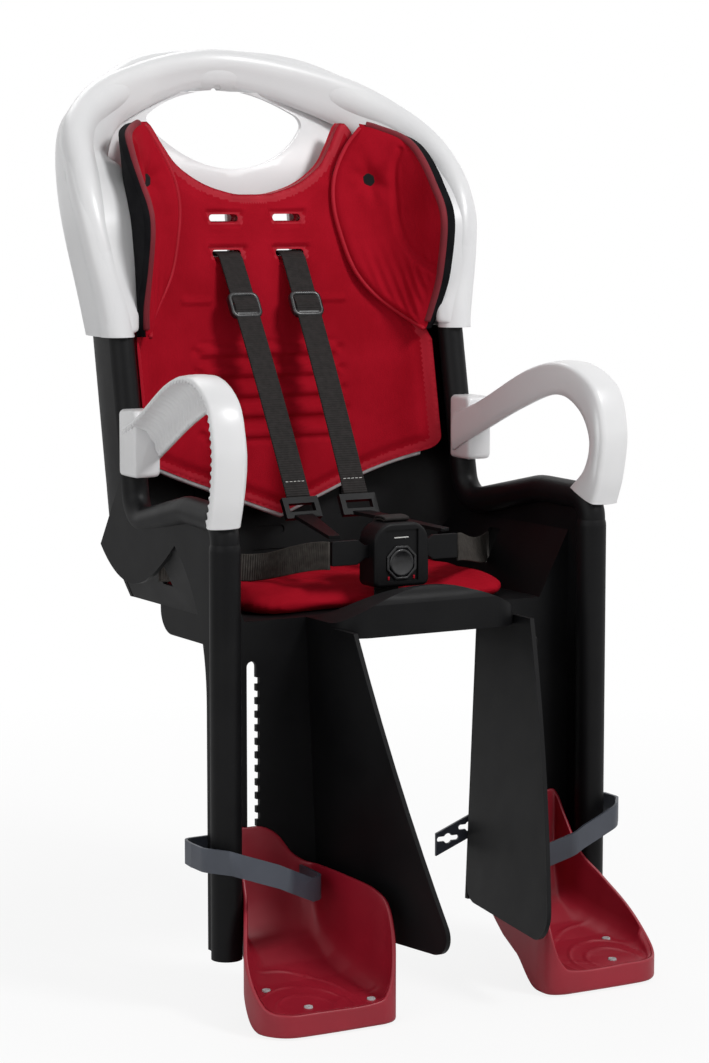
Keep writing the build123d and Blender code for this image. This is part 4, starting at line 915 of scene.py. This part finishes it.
def arm_section(length, phase):
    """Closed section of the arm: distance below its top line and place across it.

    Its hollow side faces out and down, with wavy ribs.
    """
    section = []
    for angle in np.radians(np.linspace(90, 0, 5)):
        section.append((3 - 3 * math.sin(angle), ARM_HALF - 3 + 3 * math.cos(angle)))
    down, across = length - ARM_WALL, 2 * ARM_HALF - ARM_WALL
    for share in np.linspace(0, 1, 26):
        c, s = math.cos(share * math.pi / 2), math.sin(share * math.pi / 2)
        tip = math.hypot(c * across, s * down)
        rib = ARM_RIB * (0.5 + 0.5 * math.sin(phase + 1.5 * math.sin(2.5 * math.pi * share))) ** 1.6
        rib *= min(1.0, 8 * (1 - share))
        section.append((length - down * c + rib * c * across / tip, ARM_HALF - across * s + rib * s * down / tip))
    section += [(length + 0.4, 1.6 - ARM_HALF), (length - 0.4, 0.2 - ARM_HALF)]
    section += [(length * k, -ARM_HALF - 1.2 * math.sin(math.pi * k)) for k in (0.75, 0.5, 0.25)]
    for angle in np.radians(np.linspace(0, 90, 5)):
        section.append((5 - 5 * math.sin(angle), 5 - ARM_HALF - 5 * math.cos(angle)))
    section += [(-0.8, -4.0), (-1.0, 2.0), (-0.6, 8.0)]
    return section


def build_arm(name):
    """Curved arm with its ribs, and the clip block that holds it to the back."""
    top = curve_through(ARM_TOP, ARM_ROWS)
    under = curve_through(ARM_UNDER, ARM_ROWS)
    points = []
    for row in range(ARM_ROWS):
        line = under[row] - top[row]
        length = np.linalg.norm(line)
        section = arm_section(length, 2 * math.pi * ARM_RIBS * row / ARM_ROWS)
        for depth, place in section:
            along, height = top[row] + line / length * depth
            points.append(ARM_ORIGIN + ARM_AHEAD * along + ARM_OUT * place + np.array([0, 0, height]))
    arm = (np.array(points).tolist(), capped(ARM_ROWS, len(section)), white, None)
    shape = round_rectangle(*CLIP_SIZE, 4.0)
    block = [(CLIP_PLACE[0] + k * u, y, CLIP_PLACE[1] + k * v) for y, k in CLIP_STEPS for u, v in shape]
    clip = (block, capped(len(CLIP_STEPS), len(shape)), white, None)
    piece(f"arm_{name}", on_side(name, [arm, clip]), replaces=[f"armrest_{name}"])


# Hood roll: the rim's middle, its reach outward and the roll's width, from the parting up to the handle's middle

ROLL = (
    (170.5, 105.0, 247.5, 15.0, 34.0), (176.2, 108.4, 283.0, 15.0, 42.0), (182.5, 114.0, 319.0, 15.5, 53.0),
    (187.0, 123.0, 355.0, 15.8, 59.0), (184.8, 146.0, 391.0, 15.8, 58.0), (169.5, 186.0, 427.0, 16.0, 54.0),
    (113.0, 227.0, 463.0, 17.0, 46.0), (0.0, 254.0, 483.0, 19.5, 37.0),
)
ROLL_ROWS = 181
ROLL_OVER = 0.4
ROLL_FRONT = 14.6


def roll_section(width):
    """Closed section of the roll: distance in from its outer edge and depth behind its front."""
    return np.array([
        (0.0, 15.0), (0.2, 9.0), (2.0, 4.5), (5.5, 1.4), (11.0, 0.0), (17.0, 0.3), (width * 0.55, 2.2),
        (width * 0.75, 3.6), (width - 7.0, 5.2), (width - 2.5, 7.4), (width - 0.3, 11.0), (width - 1.2, 15.0),
        (width - 5.0, 17.5), (width * 0.6, 21.0), (width * 0.35, 25.0), (6.0, 25.0), (1.5, 21.0),
    ])


def build_hood_roll():
    """Wide soft roll over the hood's rim, both sides and the top in one piece."""
    stations = [*ROLL, *((-x, *rest) for x, *rest in reversed(ROLL[:-1]))]
    line = curve_through([s[:3] for s in stations], ROLL_ROWS)
    marks = [int(np.argmin(np.linalg.norm(line - np.array(s[:3]), axis=1))) for s in stations]
    spread = curve_through([(mark, *s[3:]) for mark, s in zip(marks, stations)], 4 * ROLL_ROWS)
    reach, width = (np.interp(range(ROLL_ROWS), spread[:, 0], spread[:, i]) for i in (1, 2))
    outward = np.cross((0, 1, 0), headings(line))
    outward[:, 1] = 0
    outward = unit(outward)
    rows = []
    for row in range(ROLL_ROWS):
        section = roll_section(width[row])
        edge = line[row] + outward[row] * (reach[row] + ROLL_OVER)
        rows.append(edge - section[:, :1] * outward[row] + (section[:, 1:] - ROLL_FRONT) * np.array([0, 1, 0]))
    roll = (np.vstack(rows).tolist(), capped(ROLL_ROWS, len(section)), white, None)
    subdivide(piece("hood_roll", [roll]))


# Footrests: places round the cup's edge from the heel's outer corner by the inner side, with the edge's height

CUP = (
    (163, -85, -154.5), (148, -83.4, -154), (133, -83.4, -155), (118, -83.4, -163), (104, -84, -180),
    (92, -87, -188), (84, -98, -190), (79, -140, -192), (75, -178, -196), (73, -197, -208), (75, -209, -243),
    (85, -215, -273), (102, -216, -280), (150, -216, -280), (176, -213, -280), (190, -199, -277),
    (193, -180, -263), (189, -160, -244), (178, -138, -222), (168, -119, -203), (164, -102, -176),
)
CUP_FLOOR = ((-90, -226), (-100, -243), (-108, -250), (-128, -263), (-150, -272), (-185, -280), (-216, -283.5))
CUP_MIDDLE = np.array([128.0, -150.0])
CUP_WALL = 3.2
CUP_EDGE = CUP_WALL / 2
CUP_FILLET = 16.0
CUP_THICK = 4.0
CUP_SKIRT = -299.5
CUP_HEM = 3.0
CUP_SWIRLS = ((150, -196, 24), (150, -196, 38), (158, -190, 56), (96, -224, 40))
CUP_DOTS = ((92, -198), (149, -195), (168, -158))
DOT_PROFILE = ((0.1, 0.2), (2.0, 0.2), (2.6, 0.6), (3.4, 0.5), (3.9, -1))
CUP_STEM = (140.0, -202.0)
CUP_STEM_SIZE = (8.0, 29.0)
CUP_STEM_Y = (-84.0, -77.6)


def cup_floor(y):
    """Height of the cup's floor at a place along it."""
    return np.interp(-np.asarray(y), [-p[0] for p in CUP_FLOOR], [p[1] for p in CUP_FLOOR])


def cup_edge():
    """Plan, height and inward direction at points round the cup's edge."""
    loop = np.array(CUP, float)
    edge = curve_through(np.vstack([loop[-2:], loop, loop[:3]]), 330)
    off = np.linalg.norm(edge - loop[0], axis=1)
    edge = edge[int(np.argmin(off[:60])):180 + int(np.argmin(off[180:]))]
    plan = edge[:, :2]
    ahead = unit(np.roll(plan, -1, axis=0) - np.roll(plan, 1, axis=0))
    return plan, edge[:, 2], np.stack([-ahead[:, 1], ahead[:, 0]], axis=1)


def cup_rings(plan, top, inward):
    """Closed rings of the cup: floor, inner wall, round edge, outer wall with the toe's skirt, and underside."""
    inner = plan + inward * CUP_WALL
    floor_edge = cup_floor(inner[:, 1])
    fillet = np.minimum(CUP_FILLET, np.clip(top - floor_edge, 1.5, None))
    rings = []
    for share in np.linspace(0.04, 1, 26):
        spot = CUP_MIDDLE + (inner - CUP_MIDDLE) * share
        gap = np.linalg.norm(inner - spot, axis=1)
        near = np.clip(1 - gap / np.maximum(fillet, 4), 0, 1)
        rise = fillet * (1 - np.sqrt(np.clip(1 - near**2, 0, 1)))
        swirl = sum(np.exp(-((np.hypot(spot[:, 0] - x, spot[:, 1] - y) - radius) / 1.3) ** 2)
                    for x, y, radius in CUP_SWIRLS)
        rings.append((spot, cup_floor(spot[:, 1]) + rise + 1.1 * swirl * (1 - near)))
    level = floor_edge + fillet
    for share in np.linspace(0.1, 1, 9):
        rings.append((inner, level + (top - CUP_EDGE - level) * share))
    for turn in np.radians(np.linspace(30, 150, 5)):
        rings.append((plan + inward * CUP_EDGE * (1 + math.cos(turn)), top - CUP_EDGE * (1 - math.sin(turn))))
    base = cup_floor(plan[:, 1]) - CUP_THICK
    low = base + (CUP_SKIRT - base) * smooth_step(-150, -190, plan[:, 1])
    for share in np.linspace(0, 1, 10):
        rings.append((plan, top - CUP_EDGE + (low + CUP_HEM - top + CUP_EDGE) * share))
    for turn in np.radians((30, 60, 90)):
        rings.append((plan + inward * CUP_HEM * (1 - math.cos(turn)), low + CUP_HEM * (1 - math.sin(turn))))
    rings.append((plan + inward * 5.5, low))
    for share in np.linspace(0.93, 0.04, 12):
        spot = CUP_MIDDLE + (inner - CUP_MIDDLE) * share
        rings.append((spot, cup_floor(spot[:, 1]) - CUP_THICK))
    return [np.column_stack(ring) for ring in rings]


def build_footrest(name):
    """Moulded foot cup with swirls and drain dots on its dished floor, and the stem that rides in the slot."""
    rings = cup_rings(*cup_edge())
    parts = [(np.vstack(rings).tolist(), capped(len(rings), len(rings[0])), cup_red, None)]
    stem = [(CUP_STEM[0], y, CUP_STEM[1]) for y in np.linspace(*CUP_STEM_Y, 4)]
    parts.append(sweep(stem, round_rectangle(*CUP_STEM_SIZE, 1.0), (1, 0, 0), (0, 0, 1), cup_red))
    for x, y in CUP_DOTS:
        z = float(cup_floor(y)) + 0.6
        parts.append(lathe([(r, z + rise) for r, rise in DOT_PROFILE], (x, y), felt, 24, upright=True))
    stands_for = f"footrest_{name}"
    piece(f"foot_cup_{name}", on_side(name, parts), stands_for, [stands_for])


# CAD nodes that stay in view: their finishes, and round edges for some

SOFT_JOIN = 0.02
SOFT_ANGLE = 35


def soften(name, width):
    """Round the sharp edges of a carried-over node."""
    node = frame["nodes"][name]
    join = node.modifiers.new("join", "WELD")
    join.merge_threshold = SOFT_JOIN * MM
    bevel = node.modifiers.new("round", "BEVEL")
    bevel.width = width * MM
    bevel.segments = 2
    bevel.limit_method = "ANGLE"
    bevel.angle_limit = math.radians(SOFT_ANGLE)
    bevel.use_clamp_overlap = True


def dress_cad_nodes():
    """Give every carried-over CAD node the finish of its record slot."""
    for row in frame["record"]["subparts"]:
        node = frame["nodes"][row["node"]]
        node.data.materials.clear()
        node.data.materials.append(finishes[row["material_slot"]])


dress_cad_nodes()
build_back_pad()
build_pad_backing()
build_cushion()
build_lap_belts()
build_crotch_strap()
build_buckle_details()
build_spring()
for side in SIDES:
    build_bolster(side)
    build_shoulder_strap(side)
    build_adjuster(side)
    build_arm(side)
    build_footrest(side)
    for node in ("strap_ring", "buckle_tongue", "foot_strap"):
        soften(f"{node}_{side}", 0.9)
soften("buckle_housing", 1.2)
soften("hood", 1.5)
build_hood_roll()


# Studio: floor fade, world strength, lamps (name, place, size, power) and the photograph's camera, in metres

FLOOR_SIZE = 12
FLOOR_BACK = 2
FLOOR_FADE = {"From_Min": 0.35, "From_Max": 1.3, "To_Min": 0.86, "To_Max": 1.0}
WORLD_STRENGTH = (0.32, 1.0)
LAMPS = (
    ("key", (0.75, -1.55, 1.75), 0.55, 30),
    ("fill", (-1.9, -0.9, 0.9), 1.4, 9),
    ("rim", (0.2, 1.7, 1.7), 1.2, 12),
)
LAMP_AIM = (0, 0.05, 0.1)
CAMERA_PLACE = (-1.2942, -2.2631, 0.3922)
CAMERA_AIM = (0.0175, 0.020, 0.074)
CAMERA_LENS = 101.6
CAMERA_SENSOR = 36


def build_floor():
    """Pale floor that keeps the object's shadow and fades to white round it."""
    bpy.ops.mesh.primitive_plane_add(size=FLOOR_SIZE, location=(0, FLOOR_BACK, cad_box[0].z - MM))
    floor = bpy.context.object
    floor.name = "floor"
    paint = new_material("floor_paint", (0.9, 0.9, 0.9), 0.9)
    glow = add_node(paint, "ShaderNodeEmission")
    mix = add_node(paint, "ShaderNodeMixShader")
    seen = add_node(paint, "ShaderNodeLightPath")
    place = add_node(paint, "ShaderNodeTexCoord")
    far = add_node(paint, "ShaderNodeVectorMath", operation="DISTANCE")
    far.inputs[1].default_value = (0, -FLOOR_BACK, 0)
    fade = add_node(paint, "ShaderNodeMapRange", **FLOOR_FADE)
    share = add_node(paint, "ShaderNodeMath", operation="MULTIPLY")
    link(paint, place, "Object", far, 0)
    link(paint, far, "Value", fade, "Value")
    link(paint, seen, "Is Camera Ray", share, 0)
    link(paint, fade, "Result", share, 1)
    link(paint, share, 0, mix, 0)
    link(paint, paint.node_tree.nodes["Principled BSDF"], 0, mix, 1)
    link(paint, glow, 0, mix, 2)
    link(paint, mix, 0, paint.node_tree.nodes["Material Output"], "Surface")
    floor.data.materials.append(paint)


def build_world():
    """A world that is white to the camera and in reflections and glass, and dimmer as a light."""
    world = bpy.data.worlds.new("studio_world")
    scene.world = world
    world.use_nodes = True
    background = world.node_tree.nodes["Background"]
    background.inputs["Color"].default_value = (1, 1, 1, 1)
    path = add_node(world, "ShaderNodeLightPath")
    first = add_node(world, "ShaderNodeMath", operation="MAXIMUM")
    second = add_node(world, "ShaderNodeMath", operation="MAXIMUM")
    strength = add_node(world, "ShaderNodeMapRange", To_Min=WORLD_STRENGTH[0], To_Max=WORLD_STRENGTH[1])
    link(world, path, "Is Camera Ray", first, 0)
    link(world, path, "Is Glossy Ray", first, 1)
    link(world, first, 0, second, 0)
    link(world, path, "Is Transmission Ray", second, 1)
    link(world, second, 0, strength, "Value")
    link(world, strength, "Result", background, "Strength")


def aimed(name, data, place, target):
    """A lamp or camera at a place, looking at a target."""
    made = bpy.data.objects.new(name, data)
    made.location = place
    way = Vector(target) - made.location
    made.rotation_euler = way.to_track_quat("-Z", "Y").to_euler()
    scene.collection.objects.link(made)
    return made


def build_lamps_and_camera():
    """Three soft lamps, and the camera where the photograph was taken from."""
    for name, place, size, power in LAMPS:
        lamp = bpy.data.lights.new(name, "AREA")
        lamp.size = size
        lamp.energy = power
        aimed(name, lamp, place, LAMP_AIM)
    lens = bpy.data.cameras.new("camera")
    lens.lens = CAMERA_LENS
    lens.sensor_width = CAMERA_SENSOR
    scene.camera = aimed("camera", lens, CAMERA_PLACE, CAMERA_AIM)


build_floor()
build_world()
build_lamps_and_camera()
scene.view_settings.view_transform = "Standard"
